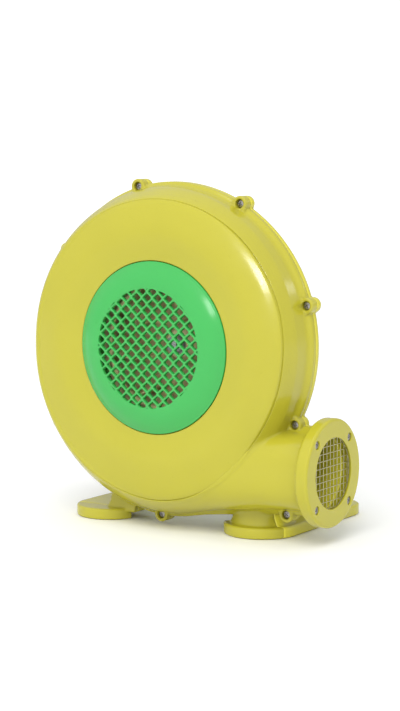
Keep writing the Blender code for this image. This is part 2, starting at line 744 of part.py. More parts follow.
def blade_outline(index):
    centre_line = []
    for k in range(5):
        s = k / 4
        centre_line.append((BLADE_ROOT_R + (BLADE_TIP_R - BLADE_ROOT_R) * s,
                            2 * math.pi * index / BLADES - BLADE_SWEEP * s ** 1.2))
    one_side, other_side = [
        [(r * math.cos(a) + w * math.sin(a), AXIS_Z + r * math.sin(a) - w * math.cos(a))
         for r, a in centre_line] for w in (-BLADE_HALF_T, BLADE_HALF_T)]
    return one_side + other_side[::-1]


def impeller():
    """Hub and back plate, blades, and a shroud that the blades meet at its rim."""
    hub = [(SHAFT_BORE_R, -0.0085), (0.0150, -0.0085), (0.0190, 0.0000), (0.0260, 0.0220),
           (IMPELLER_R, 0.0290), (IMPELLER_R, 0.0315), (0.0250, 0.0315), (0.0180, 0.0345),
           (SHAFT_BORE_R, 0.0345)]
    shroud = [(0.0655, -0.0420), (0.0690, -0.0420), (0.0780, -0.0330), (IMPELLER_R, -0.0205),
              (IMPELLER_R, -0.0182), (0.0770, -0.0307), (0.0655, -0.0400)]
    wheel = lathe("impeller", hub, AXIS_POINT, "Y", 32)
    for b in range(BLADES):
        add(wheel, prism("blade", blade_outline(b), -0.0190, 0.0300))
    add(wheel, lathe("shroud", shroud, AXIS_POINT, "Y", 32))
    return finish(tidy(wheel), WHEEL)


def motor_shaft():
    profile = [(0, -0.0200), (0.0052, -0.0200), (SHAFT_R, -0.0190), (SHAFT_R, 0.1430),
               (0, 0.1430)]
    return finish(lathe("motor_shaft", profile, AXIS_POINT, "Y", 20, closed=False), SHAFT)


def cooling_fan():
    fan = tube("cooling_fan", SHAFT_BORE_R, 0.0120, 0.1330, 0.1420, 24)
    vane = [(0.0105, -0.0010), (0.0440, -0.0050), (0.0440, -0.0035), (0.0105, 0.0010)]
    for b in range(FAN_VANES):
        add(fan, prism("vane", turned(vane, 2 * math.pi * b / FAN_VANES), 0.1335, 0.1410))
    return finish(tidy(fan), BLACK)


def build_rotating_parts():
    spin = pivot("impeller_axis", AXIS_POINT)
    on_spin(impeller(), spin)
    on_spin(motor_shaft(), spin)
    washer = tube("impeller_washer", SHAFT_BORE_R, 0.0110, -0.0104, -0.0088, 20)
    on_spin(finish(washer, STEEL), spin)
    nut = tube("impeller_nut", 0.0073, 0.0104, -0.0175, -0.0107, 6)
    on_spin(finish(nut, STEEL, 20), spin)
    core = tube("rotor_core", SHAFT_BORE_R, ROTOR_R, 0.0690, 0.1130, 24)
    on_spin(finish(core, LAMINATION), spin)
    on_spin(cooling_fan(), spin)


# ---------------------------------------------------------------- motor
STATOR_R = 0.0500
STATOR_FRONT_Y = 0.0693
STATOR_BACK_Y = 0.1129
STACK_FRONT_Y = STATOR_FRONT_Y - GAP     # where the front bell and winding stop
STACK_BACK_Y = STATOR_BACK_Y + GAP       # where the rear bell and winding start
BEARING_R = 0.0150
POCKET_R = BEARING_R + GAP


def build_front_bell():
    profile = [(0.0080, 0.0515), (0.0235, 0.0515), (0.0235, 0.0543), (0.0520, 0.0543),
               (0.0520, STACK_FRONT_Y), (0.0480, STACK_FRONT_Y), (0.0480, 0.0580),
               (0.0190, 0.0580), (0.0190, 0.0640), (POCKET_R, 0.0640), (POCKET_R, 0.0560),
               (0.0080, 0.0560)]
    bell = lathe("front_end_bell", profile, AXIS_POINT, "Y", 20)
    places = circle_points(MOTOR_BOLT_CIRCLE_R, MOTOR_BOLTS, AXIS_Z)
    cut(bell, joined(bolt_holes(MOTOR_BOLT_HOLE_R, places, 0.050, 0.066)))
    finish(tidy(bell), ALUMINIUM)


def build_rear_bell():
    profile = [(0.0080, 0.1310), (0.0190, 0.1310), (0.0190, 0.1240), (0.0300, 0.1240),
               (0.0480, 0.1215), (0.0480, STACK_BACK_Y), (0.0520, STACK_BACK_Y),
               (0.0520, 0.1225), (0.0500, 0.1245), (0.0310, 0.1270), (0.0215, 0.1275),
               (0.0215, 0.1325), (0.0080, 0.1325)]
    bell = lathe("rear_end_bell", profile, AXIS_POINT, "Y", 20)
    add(bell, tube("hub", POCKET_R, 0.0190, 0.1200, 0.1315, 20))
    finish(tidy(bell), ALUMINIUM)


def build_bearings():
    for name, lo, hi in (("front_bearing", 0.0563, 0.0638), ("rear_bearing", 0.1205, 0.1305)):
        finish(tube(name, SHAFT_BORE_R, BEARING_R, lo, hi, 16), SHAFT)


def build_stator():
    finish(tube("stator_core", 0.0325, STATOR_R, STATOR_FRONT_Y, STATOR_BACK_Y, 24), LAMINATION)
    front = [(0.0340, 0.0610), (0.0370, 0.0590), (0.0435, 0.0590), (0.0465, 0.0610),
             (0.0465, STACK_FRONT_Y), (0.0340, STACK_FRONT_Y)]
    rear = [(0.0340, STACK_BACK_Y), (0.0465, STACK_BACK_Y), (0.0465, 0.1185), (0.0435, 0.1208),
            (0.0370, 0.1208), (0.0340, 0.1185)]
    for name, profile in (("front_winding", front), ("rear_winding", rear)):
        finish(lathe(name, profile, AXIS_POINT, "Y", 24), COPPER)


def build_motor_screws():
    """Screws with their heads inside the casing's back wall."""
    profile = [(0, -0.0030), (0.0045, -0.0030), (0.0052, -0.0018), (0.0052, 0.0), (0.0021, 0.0),
               (0.0021, 0.0064), (0, 0.0064)]
    places = circle_points(MOTOR_BOLT_CIRCLE_R, MOTOR_BOLTS, AXIS_Z)
    screws("motor_screw", profile, "Y", [(x, BACK_Y - WALL - GAP, z) for x, z in places])


def build_capacitor():
    finish(box("capacitor", (-0.0180, 0.0720, AXIS_Z + 0.0515),
               (0.0180, 0.1000, AXIS_Z + 0.0655)), CAP)


# ---------------------------------------------------------------- motor cover
SWITCH_X, SWITCH_Y, SWITCH_Z = -0.0765, 0.1000, AXIS_Z    # face of the land for the switch
CORD_Y = 0.0980          # where the cord leaves the cover's underside
MOTOR_COVER_Y = BACK_Y + GAP
MOTOR_COVER_WALL = 0.0024
FLANGE_R = MOTOR_COVER_R + 0.0105
FLANGE_T = 0.0032
SLOT_HALF_W = 0.0024
SLOT_RINGS = ((0.0170, 0.0330, 10), (0.0375, 0.0550, 16))   # inner radius, outer radius, count


def air_slots():
    cutters = []
    for inner_r, outer_r, count in SLOT_RINGS:
        outline = rect(inner_r, -SLOT_HALF_W, outer_r, SLOT_HALF_W)
        for k in range(count):
            cutters.append(prism("slot", turned(outline, 2 * math.pi * (k + 0.5) / count),
                                 MOTOR_COVER_BACK_Y - 0.006, MOTOR_COVER_BACK_Y + 0.003))
    return cutters


def build_motor_cover():
    r, front, back, wall = MOTOR_COVER_R, MOTOR_COVER_Y, MOTOR_COVER_BACK_Y, MOTOR_COVER_WALL
    outer = [(0, front), (FLANGE_R, front), (FLANGE_R, front + FLANGE_T),
             (r + 0.0002, front + FLANGE_T), (r - 0.0010, back - 0.0120),
             (r - 0.0045, back - 0.0045), (r - 0.0120, back - 0.0006), (r - 0.0180, back),
             (0, back)]
    inner = [(0, front - 0.002), (r - wall, front - 0.002), (r - wall - 0.0016, back - 0.0120),
             (r - 0.0066, back - 0.0064), (r - 0.0130, back - wall), (0, back - wall)]
    ob = lathe("motor_cover", outer, AXIS_POINT, "Y", 30, closed=False)
    # flat land for the switch, and a boss for the cord
    add(ob, box("land", (SWITCH_X, SWITCH_Y - 0.0150, SWITCH_Z - 0.0190),
                (-0.0600, SWITCH_Y + 0.0150, SWITCH_Z + 0.0190)))
    add(ob, rod("boss", (0, CORD_Y, 0), 0.0100, AXIS_Z - r - 0.0030, AXIS_Z - 0.065, "Z", 20))
    cut(ob, lathe("cavity", inner, AXIS_POINT, "Y", 30, closed=False, phase=0.31))
    cutters = air_slots()
    cutters.append(box("switch_hole", (-0.090, SWITCH_Y - 0.0095, SWITCH_Z - 0.0131),
                       (-0.050, SWITCH_Y + 0.0095, SWITCH_Z + 0.0129)))
    cutters.append(rod("cord_hole", (0, CORD_Y, 0), 0.0066, AXIS_Z - r - 0.010, AXIS_Z - 0.060,
                       "Z", 16))
    places = circle_points(COVER_SCREW_CIRCLE_R, COVER_SCREWS, AXIS_Z)
    cutters += bolt_holes(COVER_SCREW_HOLE_R, places, 0.050, 0.062)
    cut(ob, joined(cutters))
    finish(tidy(ob), GREEN)


def build_cover_screws():
    profile = [(0, 0.0026), (0.0030, 0.0026), (0.0040, 0.0014), (0.0040, 0.0), (0.0016, 0.0),
               (0.0016, -0.0085), (0, -0.0095)]
    places = circle_points(COVER_SCREW_CIRCLE_R, COVER_SCREWS, AXIS_Z)
    screws("cover_screw", profile, "Y", [(x, MOTOR_COVER_Y + FLANGE_T + GAP, z)
                                         for x, z in places])


# ---------------------------------------------------------------- switch
ROCKER_TILT = math.radians(8.0)
# (outwards from the pivot, up), with the rocker level
ROCKER_OUTLINE = [(0.0078, -0.0096), (0.0058, 0.0), (0.0078, 0.0096), (-0.0008, 0.0090),
                  (-0.0034, 0.0050), (-0.0042, 0.0), (-0.0034, -0.0050), (-0.0008, -0.0090)]


def build_switch_body():
    """Bezel on the cover's -X side, with a can behind it and a pocket for the rocker."""
    back = SWITCH_X - GAP

    def block(name, x0, x1, half_y, half_z):
        return box(name, (back + x0, SWITCH_Y - half_y, SWITCH_Z - half_z),
                   (back + x1, SWITCH_Y + half_y, SWITCH_Z + half_z))

    body = block("switch_body", -0.0022, 0.0, 0.0115, 0.0152)
    add(body, block("can", -0.001, 0.0175, 0.0092, 0.0127))
    cut(body, block("pocket", -0.006, 0.0100, 0.0074, 0.0110))
    finish(tidy(body), BLACK)


def build_rocker():
    """Rocker tipped to its off position, on its own pivot."""
    outline = turned([(-out, up) for out, up in ROCKER_OUTLINE], -ROCKER_TILT, 0)
    rocker = finish(prism("switch_rocker", outline, -0.0070, 0.0070, "Y"), RED, 20)
    rocker.parent = pivot("switch_pivot", (SWITCH_X + 0.0005, SWITCH_Y, SWITCH_Z))


# ---------------------------------------------------------------- cord
CORD_R = 0.0035
HANK_R = 0.0200          # bend radius of the tied hank
HANK_L = 0.0220          # half length of its straight sides
HANK_Z = 0.0680
HANK_Y = 0.1040
HANK_PITCH = 0.0080
HANK_TURNS = 3
BEND_STEPS = 6
PLUG_Y = 0.1490
TIE_T = 0.0012
TIE_HALF_H = 0.0025


def sweep(name, points, radius, sides):
    """Round tube along a path, its section carried on without twist."""
    points = [Vector(p) for p in points]
    last = len(points) - 1
    verts, across = [], None
    for i, p in enumerate(points):
        along = (points[min(i + 1, last)] - points[max(i - 1, 0)]).normalized()
        if across is None:
            across = along.cross(Vector((0.31, 0.17, 0.93)).normalized()).normalized()
        else:
            across = (across - along * across.dot(along)).normalized()
        third = along.cross(across)
        for k in range(sides):
            w = 2 * math.pi * k / sides
            verts.append(p + across * (radius * math.cos(w)) + third * (radius * math.sin(w)))
    faces = []
    for i in range(last):
        for k in range(sides):
            m = (k + 1) % sides
            faces.append([i * sides + k, i * sides + m, (i + 1) * sides + m, (i + 1) * sides + k])
    faces.append(list(range(sides)))
    faces.append(list(range(len(verts) - 1, last * sides - 1, -1)))
    return mesh_object(name, verts, faces)


def lead_in():
    """Cord from inside the motor cover down to the start of the hank."""
    top = AXIS_Z - MOTOR_COVER_R - 0.0225
    controls = ((0, CORD_Y, top), (0, CORD_Y, top - 0.030), (HANK_R, HANK_Y, HANK_Z + 0.006),
                (HANK_R, HANK_Y, HANK_Z - HANK_L))
    points = [(0, CORD_Y, top + 0.0300), (0, CORD_Y, top)]
    for k in range(1, 9):
        t = k / 8
        weights = ((1 - t) ** 3, 3 * t * (1 - t) ** 2, 3 * t * t * (1 - t), t ** 3)
        points.append(tuple(sum(w * p[i] for w, p in zip(weights, controls))
                            for i in range(3)))
    return points


def hank():
    """Oval turns that step rearwards, the last of them swinging out to the plug."""
    bend, side = math.pi * HANK_R, 2 * HANK_L
    lap = 2 * (bend + side)
    run = []             # (x, z, length along the hank)
    for turn in range(HANK_TURNS):
        base = turn * lap
        for k in range(1, BEND_STEPS + 1):
            a = -math.pi * k / BEND_STEPS
            run.append((HANK_R * math.cos(a), HANK_Z - HANK_L + HANK_R * math.sin(a),
                        base + bend * k / BEND_STEPS))
        run.append((-HANK_R, HANK_Z, base + bend + side / 2))
        run.append((-HANK_R, HANK_Z + HANK_L, base + bend + side))
        for k in range(1, BEND_STEPS + 1):
            a = math.pi - math.pi * k / BEND_STEPS
            run.append((HANK_R * math.cos(a), HANK_Z + HANK_L + HANK_R * math.sin(a),
                        base + bend + side + bend * k / BEND_STEPS))
        if turn < HANK_TURNS - 1:
            run.append((HANK_R, HANK_Z - HANK_L, base + lap))
    swing = (HANK_TURNS - 1) * lap + bend + side / 2
    points = []
    for x, z, length in run:
        y = HANK_Y + HANK_PITCH * length / lap
        if length > swing:
            t = min(1.0, (length - swing) / (bend + side / 2))
            y += (PLUG_Y - y) * t * t * (3 - 2 * t)
        points.append((x, y, z))
    return points


def build_cord():
    """Cord; returns its plug end."""
    end = (HANK_R, PLUG_Y, HANK_Z + HANK_L - 0.006)
    finish(sweep("power_cord", lead_in() + hank() + [end], CORD_R, 7), RUBBER, 60)
    return Vector(end)


def build_cord_grip():
    bore_r = CORD_R + GAP
    profile = [(bore_r, 0.0), (0.0054, 0.0), (0.0062, 0.0120), (0.0110, 0.0125),
               (0.0110, 0.0150), (0.0063, 0.0153), (0.0063, 0.0240), (bore_r, 0.0240)]
    centre = (0, CORD_Y, AXIS_Z - MOTOR_COVER_R - 0.0030 - 0.0153)
    finish(lathe("cord_grip", profile, centre, "Z", 20), BLACK)


def build_cord_tie():
    """Square band round the hank's -X side."""
    reach = CORD_R + 0.0006
    y0 = HANK_Y + 0.0032 - reach
    y1 = HANK_Y + 0.0032 + 2 * HANK_PITCH + reach
    loops = [rect(-(reach + out) - HANK_R, y0 - out, reach + out - HANK_R, y1 + out)
             for out in (0.0, TIE_T)]
    verts = [(x, y, HANK_Z + z) for z in (-TIE_HALF_H, TIE_HALF_H)
             for loop in loops for x, y in loop]
    faces = []
    for k in range(4):
        m = (k + 1) % 4
        faces += [[k, m, 8 + m, 8 + k], [4 + k, 4 + m, 12 + m, 12 + k],
                  [k, m, 4 + m, 4 + k], [8 + k, 8 + m, 12 + m, 12 + k]]
    finish(mesh_object("cord_tie", verts, faces), BLACK, 20)


# ---------------------------------------------------------------- plug
PLUG_L = 0.0390
# (depth below the cord's end, half width in x, half width in y)
PLUG_SECTIONS = [(0.0, 0.0042, 0.0042), (0.012, 0.0050, 0.0048), (0.018, 0.0100, 0.0080),
                 (0.026, 0.0130, 0.0105), (0.037, 0.0135, 0.0110), (PLUG_L, 0.0128, 0.0104)]
# (name, x, y, half width in x, half width in y, length)
PRONGS = [("live_blade", -0.0064, 0.0020, 0.0008, 0.0032, 0.0160),
          ("neutral_blade", 0.0064, 0.0020, 0.0008, 0.0032, 0.0160),
          ("earth_pin", 0.0, -0.0060, 0.0023, 0.0023, 0.0185)]


def build_plug(cord_end):
    """Plug hanging from the cord's end, prongs down."""
    top = cord_end - Vector((0, 0, GAP))
    body = loft("power_plug", [[top + Vector((x, y, -depth))
                                for x, y in superellipse(half_x, half_y, 3.0, 14)]
                               for depth, half_x, half_y in PLUG_SECTIONS])
    finish(body, BLACK)
    for name, x, y, half_x, half_y, length in PRONGS:
        root = top + Vector((x, y, -PLUG_L - GAP))
        outline = rect(-half_x, -half_y, half_x, half_y)
        prong = loft(name, [[root + Vector((i, j, -depth)) for i, j in outline]
                            for depth in (0.0, length)])
        finish(prong, BRASS, 20)


# ---------------------------------------------------------------- assembly
def centre_on_footprint():
    """Moves everything so that the origin is at the middle of the bounds in x and y."""
    bpy.context.view_layer.update()
    points = [ob.matrix_world @ v.co for ob in bpy.data.objects if ob.type == "MESH"
              for v in ob.data.vertices]
    xs, ys = [p.x for p in points], [p.y for p in points]
    shift = Vector((-(min(xs) + max(xs)) / 2, -(min(ys) + max(ys)) / 2, 0))
    for ob in bpy.data.objects:
        if ob.parent is None:
            ob.location += shift
    bpy.context.view_layer.update()


build_front_casing()
build_rear_casing()
build_intake_cover()
build_outlet_ring()
build_outlet_guard()
build_outlet_screws()
build_casing_screws()
build_rotating_parts()
build_front_bell()
build_rear_bell()
build_bearings()
build_stator()
build_motor_screws()
build_capacitor()
build_motor_cover()
build_cover_screws()
build_switch_body()
build_rocker()
plug_end = build_cord()
build_cord_grip()
build_cord_tie()
build_plug(plug_end)
centre_on_footprint()
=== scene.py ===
# Centrifugal air blower on two feet. The scroll's axis runs along Y: the intake cover faces -Y,
# the motor and its cord are at +Y, the outlet points to +X, and the feet stand on z = 0.
# Pieces are drawn with x = 0 on the shaft and y = 0 on the seam between the casing halves;
# SHIFT carries them into the frame. Metres throughout.
import bpy
import bmesh
import json
import math
import numpy as np
from collections import namedtuple
from mathutils import Vector, Matrix

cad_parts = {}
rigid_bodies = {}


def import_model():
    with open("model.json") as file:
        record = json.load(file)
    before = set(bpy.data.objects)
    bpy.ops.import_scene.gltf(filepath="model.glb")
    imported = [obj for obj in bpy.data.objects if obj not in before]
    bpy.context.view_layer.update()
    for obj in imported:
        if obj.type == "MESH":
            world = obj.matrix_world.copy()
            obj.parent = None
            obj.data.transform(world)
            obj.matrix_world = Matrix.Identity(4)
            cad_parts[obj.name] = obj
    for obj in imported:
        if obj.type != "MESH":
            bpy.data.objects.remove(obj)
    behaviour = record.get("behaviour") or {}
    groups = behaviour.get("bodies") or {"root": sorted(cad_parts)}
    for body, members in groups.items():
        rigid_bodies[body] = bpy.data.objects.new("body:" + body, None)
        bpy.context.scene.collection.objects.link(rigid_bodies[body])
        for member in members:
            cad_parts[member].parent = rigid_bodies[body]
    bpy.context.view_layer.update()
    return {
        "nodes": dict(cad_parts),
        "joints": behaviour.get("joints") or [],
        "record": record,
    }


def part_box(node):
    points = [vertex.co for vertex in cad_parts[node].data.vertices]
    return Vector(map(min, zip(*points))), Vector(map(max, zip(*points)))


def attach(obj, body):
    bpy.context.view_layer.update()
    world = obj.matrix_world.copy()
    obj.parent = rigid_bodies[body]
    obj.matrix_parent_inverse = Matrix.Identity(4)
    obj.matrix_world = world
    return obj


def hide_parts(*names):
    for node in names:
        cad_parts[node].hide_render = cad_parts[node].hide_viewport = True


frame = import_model()
NODES = frame["nodes"]

# ------------------------------------------------------------------ places, from the frame
shaft_low, shaft_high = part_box("motor_shaft")
ORIGIN_X = (shaft_low.x + shaft_high.x) / 2
AXIS_Z = (shaft_low.z + shaft_high.z) / 2
SEAM = 0.00015           # half the gap between the two casing halves
ORIGIN_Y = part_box("front_casing")[1].y + SEAM
ring_low, ring_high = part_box("outlet_ring")
OUTLET_X = ring_high.x - ORIGIN_X
OUTLET_Z = (ring_low.z + ring_high.z) / 2
SHIFT = Vector((ORIGIN_X, ORIGIN_Y, 0))

ScrewPlace = namedtuple("ScrewPlace", "x z y_low y_high x_high")


def screw_places(prefix, count):
    """Where the frame's screws of one kind stand, in drawing coordinates."""
    places = []
    for i in range(1, count + 1):
        low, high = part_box("%s_%d" % (prefix, i))
        centre = (low + high) / 2
        places.append(ScrewPlace(centre.x - ORIGIN_X, centre.z, low.y - ORIGIN_Y,
                                 high.y - ORIGIN_Y, high.x - ORIGIN_X))
    return places


def bolt_circle(radius, angles, centre=0.0):
    """Points on a circle whose second coordinate is centred on centre; angles in degrees."""
    return [(radius * math.cos(math.radians(a)), centre + radius * math.sin(math.radians(a)))
            for a in angles]


# ------------------------------------------------------------------ sizes
LIP_W = 0.0060           # half width of the seam lip
LIP_H = 0.0064           # how far the lip stands proud of the rear half
FRONT_H = 0.0048         # and of the front half
FACE_Y = -0.0518         # shoulder plane at the crease
BACK_Y = 0.054           # flat back of the scroll
BOWL_R = 0.083           # flat part of the back
WALL = 0.0036            # from the skin to the cavity, in the rim wall and the duct
FACE_REBATE = 0.0013     # skin taken off the front shell to take the face piece

COVER_R = 0.0925         # intake cover
SEAT_R = COVER_R + 0.0010
SEAT_Y = -0.0546
GRILLE_R = 0.0640
GRILLE_Y = -0.0687
PITCH = 0.0096           # of the lattice
HOLE_A, HOLE_B = 0.0064, 0.0052   # half width and half height of a lozenge hole

BORE_R = 0.0386          # outlet bore, from BORE_X outwards
BORE_X = 0.150
COLLAR_R = 0.0532        # collar at the duct's end, under the outlet ring
COLLAR_X = (0.1728, 0.1781)
RING_R = 0.0579
RING_T = 0.0120
RING_BOLTS = bolt_circle(0.0483, (45, 135, 225, 315))

LUG_R = 0.0084           # seam screw lugs
LUG_Y = 0.0106
HEAD_BORE_R, SHANK_BORE_R = 0.0049, 0.0021
UPRIGHT_WEBS = (4, 5)    # lugs whose web runs straight up instead of to the axis

MOTOR_R = 0.074          # motor cover
COVER_BACK_Y = 0.1480
COVER_BOLTS = bolt_circle(0.079, (30, 150, 210, 330), AXIS_Z)
COVER_BOLT_R = 0.0019
MOTOR_BOLTS = bolt_circle(0.040, (45, 135, 225, 315), AXIS_Z)
FINS = 48
SWITCH_X, SWITCH_Y = -0.0765, 0.1000
CORD_Y = 0.0980
CORD_BOSS = 0.0030       # height of the boss under the motor cover

# Foot pads, by sign of x: centre x (as a distance), centre y and radius of the round front end
PADS = {1: (0.0921, 0.0167, 0.0415), -1: (0.1060, 0.0128, 0.0393)}
PAD_T = 0.0122
PAD_BACK, PAD_CORNER = 0.183, 0.030
RIB_X = 0.1020
# Top edge of the rib behind each foot: y, z
RIB_TOP = [(0.02, 0.070), (0.045, 0.062), (0.06, 0.044), (0.10, 0.0262),
           (0.150, PAD_T + 0.004), (0.175, PAD_T)]


def seam_lugs():
    """Seam lugs: centre x, z and the direction its web runs in."""
    lugs = []
    for i, screw in enumerate(screw_places("casing_screw", 8)):
        way = Vector((-screw.x, AXIS_Z - screw.z)).normalized()
        if i in UPRIGHT_WEBS:
            way = Vector((0.0, 1.0))
        lugs.append((screw.x, screw.z, way.x, way.y))
    return lugs


SEAM_LUGS = seam_lugs()


# ------------------------------------------------------------------ smooth tables
def bell(reach, sigma):
    """Weights of a Gaussian from -reach to reach."""
    steps = np.arange(-reach, reach + 1)
    weights = np.exp(-0.5 * (steps / sigma) ** 2)
    return steps, weights / weights.sum()


def periodic(table, sigma=5.0):
    """Lookup of a table over an angle in degrees, smoothed over sigma degrees."""
    angles = np.array([row[0] % 360 for row in table], float)
    values = np.array([row[1] for row in table], float)
    order = np.argsort(angles)
    angles, values = angles[order], values[order]
    around = np.concatenate([angles - 360, angles, angles + 360])
    ring = np.interp(np.arange(0, 360, 1.0), around, np.tile(values, 3))
    ring = sum(np.roll(ring, int(i)) * weight for i, weight in zip(*bell(25, sigma)))
    stations = np.arange(-180, 541, 1.0)
    heights = ring[(stations.astype(int)) % 360]
    return lambda angle: np.interp(angle, stations, heights)


def smooth_table(stations, values, count=400, sigma=8.0):
    """Lookup of a table over x along the duct, smoothed over sigma samples."""
    grid = np.linspace(-0.08, 0.2, count)
    reach = 40
    weights = bell(reach, sigma)[1]
    padded = np.pad(np.interp(grid, stations, values), reach, mode="edge")
    smoothed = np.convolve(padded, weights, mode="valid")
    return lambda x: np.interp(x, grid, smoothed)


# Angle about the axis from +X towards +Z in degrees, radius of the seam lip
LIP = periodic([
    (-34, 0.1650), (-20, 0.1665), (0, 0.1680), (20, 0.1690), (40, 0.1702), (60, 0.1716),
    (80, 0.1740), (97, 0.1770), (120, 0.1797), (150, 0.1832), (180, 0.1868), (210, 0.1905),
    (230, 0.1935), (245, 0.1950), (255, 0.1953), (262, 0.1940), (270, 0.1915), (280, 0.1885),
    (295, 0.1820), (310, 0.1740)])
# Angle, radius of the crease round the domed face
CREASE = periodic([
    (-34, 0.1534), (-22, 0.1548), (-3, 0.1566), (15, 0.1590), (60, 0.1590), (90, 0.1590),
    (150, 0.1590), (180, 0.1590), (200, 0.1620), (230, 0.1650), (253, 0.1660), (268, 0.1673),
    (287, 0.1640), (306, 0.1560)], sigma=4.0)

# Side view of the duct: x, centre height from the axis, half height
duct_x, duct_centre, duct_half = zip(
    (-0.060, -0.112, 0.058), (-0.030, -0.118, 0.058), (0.000, -0.124, 0.0575),
    (0.030, -0.1265, 0.0540), (0.060, -0.1270, 0.0500), (0.090, -0.1270, 0.0465),
    (0.120, -0.1262, 0.0435), (0.145, -0.1260, 0.0420), (0.200, -0.1260, 0.0416))
DUCT_CENTRE = smooth_table(duct_x, duct_centre)
DUCT_HALF_Z = smooth_table(duct_x, duct_half)
DUCT_HALF_Y = smooth_table(
    [-0.06, 0.0, 0.03, 0.06, 0.09, 0.12, 0.145, 0.165, 0.18, 0.2],
    [0.046, 0.050, 0.0530, 0.0545, 0.0540, 0.0515, 0.0472, 0.0436, 0.0420, 0.0416])
# Superellipse power of the section, from boxy in the middle to round at the outlet
DUCT_POWER = smooth_table([-0.06, 0.02, 0.05, 0.150, 0.172, 0.2], [2.4, 2.6, 3.2, 3.2, 2.1, 2.0])


# ------------------------------------------------------------------ field operations
# A field is a signed distance, negative inside the solid.
def join(a, b, blend):
    """Union with a fillet."""
    near = np.maximum(blend - np.abs(a - b), 0.0) / blend
    return np.minimum(a, b) - near * near * near * blend / 6.0


def meet(a, b, blend):
    """Intersection with a softened edge."""
    return -join(-a, -b, blend)


def cut(body, tool, blend):
    return meet(body, -tool, blend)


def distance(a, b):
    return np.sqrt(a * a + b * b)


def corner(a, b, radius_a, radius_b, power=2.0):
    """Inside is a < 0 and b < 0, with the corner rounded by a superellipse."""
    past_a, past_b = (a + radius_a) / radius_a, (b + radius_b) / radius_b
    pos_a, pos_b = np.maximum(past_a, 1e-6), np.maximum(past_b, 1e-6)
    level = (pos_a ** power + pos_b ** power) ** (1.0 / power)
    slope = np.sqrt((pos_a ** (power - 1) / radius_a) ** 2 + (pos_b ** (power - 1) / radius_b) ** 2)
    slope = slope * level ** (1 - power)
    return np.where((past_a > 0) & (past_b > 0), (level - 1.0) / np.maximum(slope, 1e-6),
                    np.maximum(a, b))


def slab(value, low, high):
    return np.maximum(low - value, value - high)


def box2(a, half_a, b, half_b):
    """Rectangle centred on a = b = 0."""
    return np.maximum(np.abs(a) - half_a, np.abs(b) - half_b)


def rounded(plan, height, radius):
    """Extrusion of a plan field between the planes of height, with rounded edges."""
    a, b = plan + radius, height + radius
    outside = np.sqrt(np.maximum(a, 0) ** 2 + np.maximum(b, 0) ** 2)
    return outside + np.minimum(np.maximum(a, b), 0) - radius


def ramp(value):
    return np.clip(value, 0, 1)


def drill(body, x, z, centres, radius, limit):
    """Holes along Y, kept where limit is negative."""
    for hole_x, hole_z in centres:
        hole = np.maximum(distance(x - hole_x, z - hole_z) - radius, limit)
        body = cut(body, hole, 0.0005)
    return body


def polar(x, z):
    """Radius and angle in degrees about the scroll's axis."""
    rise = z - AXIS_Z
    return distance(x, rise), np.degrees(np.arctan2(rise, x))


def near_angle(angle, centre, reach):
    """1 at the centre angle, falling to 0 at reach degrees from it."""
    return ramp(1.0 - np.abs(((angle - centre + 180) % 360) - 180) / reach)


# ------------------------------------------------------------------ the casing as a field
# side is -1 for the front half and +1 for the rear half.
def away_from_outlet(angle):
    """1 on the -X side, where the face rolls over more gently."""
    share = ramp((np.cos(np.radians(angle - 186.0)) - 0.10) / 0.60)
    return share * share * (3 - 2 * share)


def shoulder(lip, crease):
    """Width of the front shoulder, its added depth and its superellipse power."""
    width = np.maximum(lip - FRONT_H - crease, 0.0035)
    share = ramp((width - 0.004) / 0.014)
    return width, 0.019 * share, 1.26 + 0.06 * share


def front_scroll(radius, angle, y):
    """Shouldered drum with the domed face on it."""
    lip, crease, away = LIP(angle), CREASE(angle), away_from_outlet(angle)
    width, depth, power = shoulder(lip, crease)
    draft = 0.0012 * ramp((-y - 0.012) / 0.03)
    drum = corner(radius - (lip - FRONT_H) + draft, FACE_Y - 0.0034 * away - y,
                  width, 0.020 + depth, power)
    # dome: a shallow dish round the cover, a crown, and a roll down to the crease
    crown = -0.0573 - 0.0036 * np.exp(-((radius - 0.122) / 0.020) ** 2)
    roll = np.clip((radius - (crease - 0.0300)) / 0.0300, 0, 0.975)
    edge = (0.0085 - 0.0028 * away) * (1 - np.sqrt(1 - roll * roll))
    dome = np.maximum((crown + edge - y) * np.where(roll > 0.02, 0.92, 1.0), radius - crease)
    # fine groove at the crease, fainter at the top, below the outlet side and towards -X
    fade = ramp((-y - 0.0445) / 0.004)
    high = 1 - 0.55 * near_angle(angle, 100.0, 60.0)
    lower = near_angle(angle, -44.0, 11.0)
    groove = 0.0013 * np.exp(-((radius - crease + 0.0007) / 0.00060) ** 2)
    groove = groove * fade * (1 - 0.45 * lower) * high * (1 - 0.7 * away)
    return join(drum, dome, 0.0006) + groove


def lip_profile(out, y):
    """Lip along the seam; out is the distance past its crest."""
    return meet(out, (out + (np.abs(y) - LIP_W)) * 0.7071, 0.0016)


def scroll(x, y, z, side):
    radius, angle = polar(x, z)
    lip = LIP(angle)
    if side < 0:
        body = front_scroll(radius, angle, y)
    else:
        wall = lip - LIP_H
        body = corner(radius - wall, y - BACK_Y, wall - BOWL_R, BACK_Y - 0.004)
    band = np.maximum(lip_profile(radius - lip, y), np.abs(y) - 0.0180)
    return join(body, band, 0.0035)


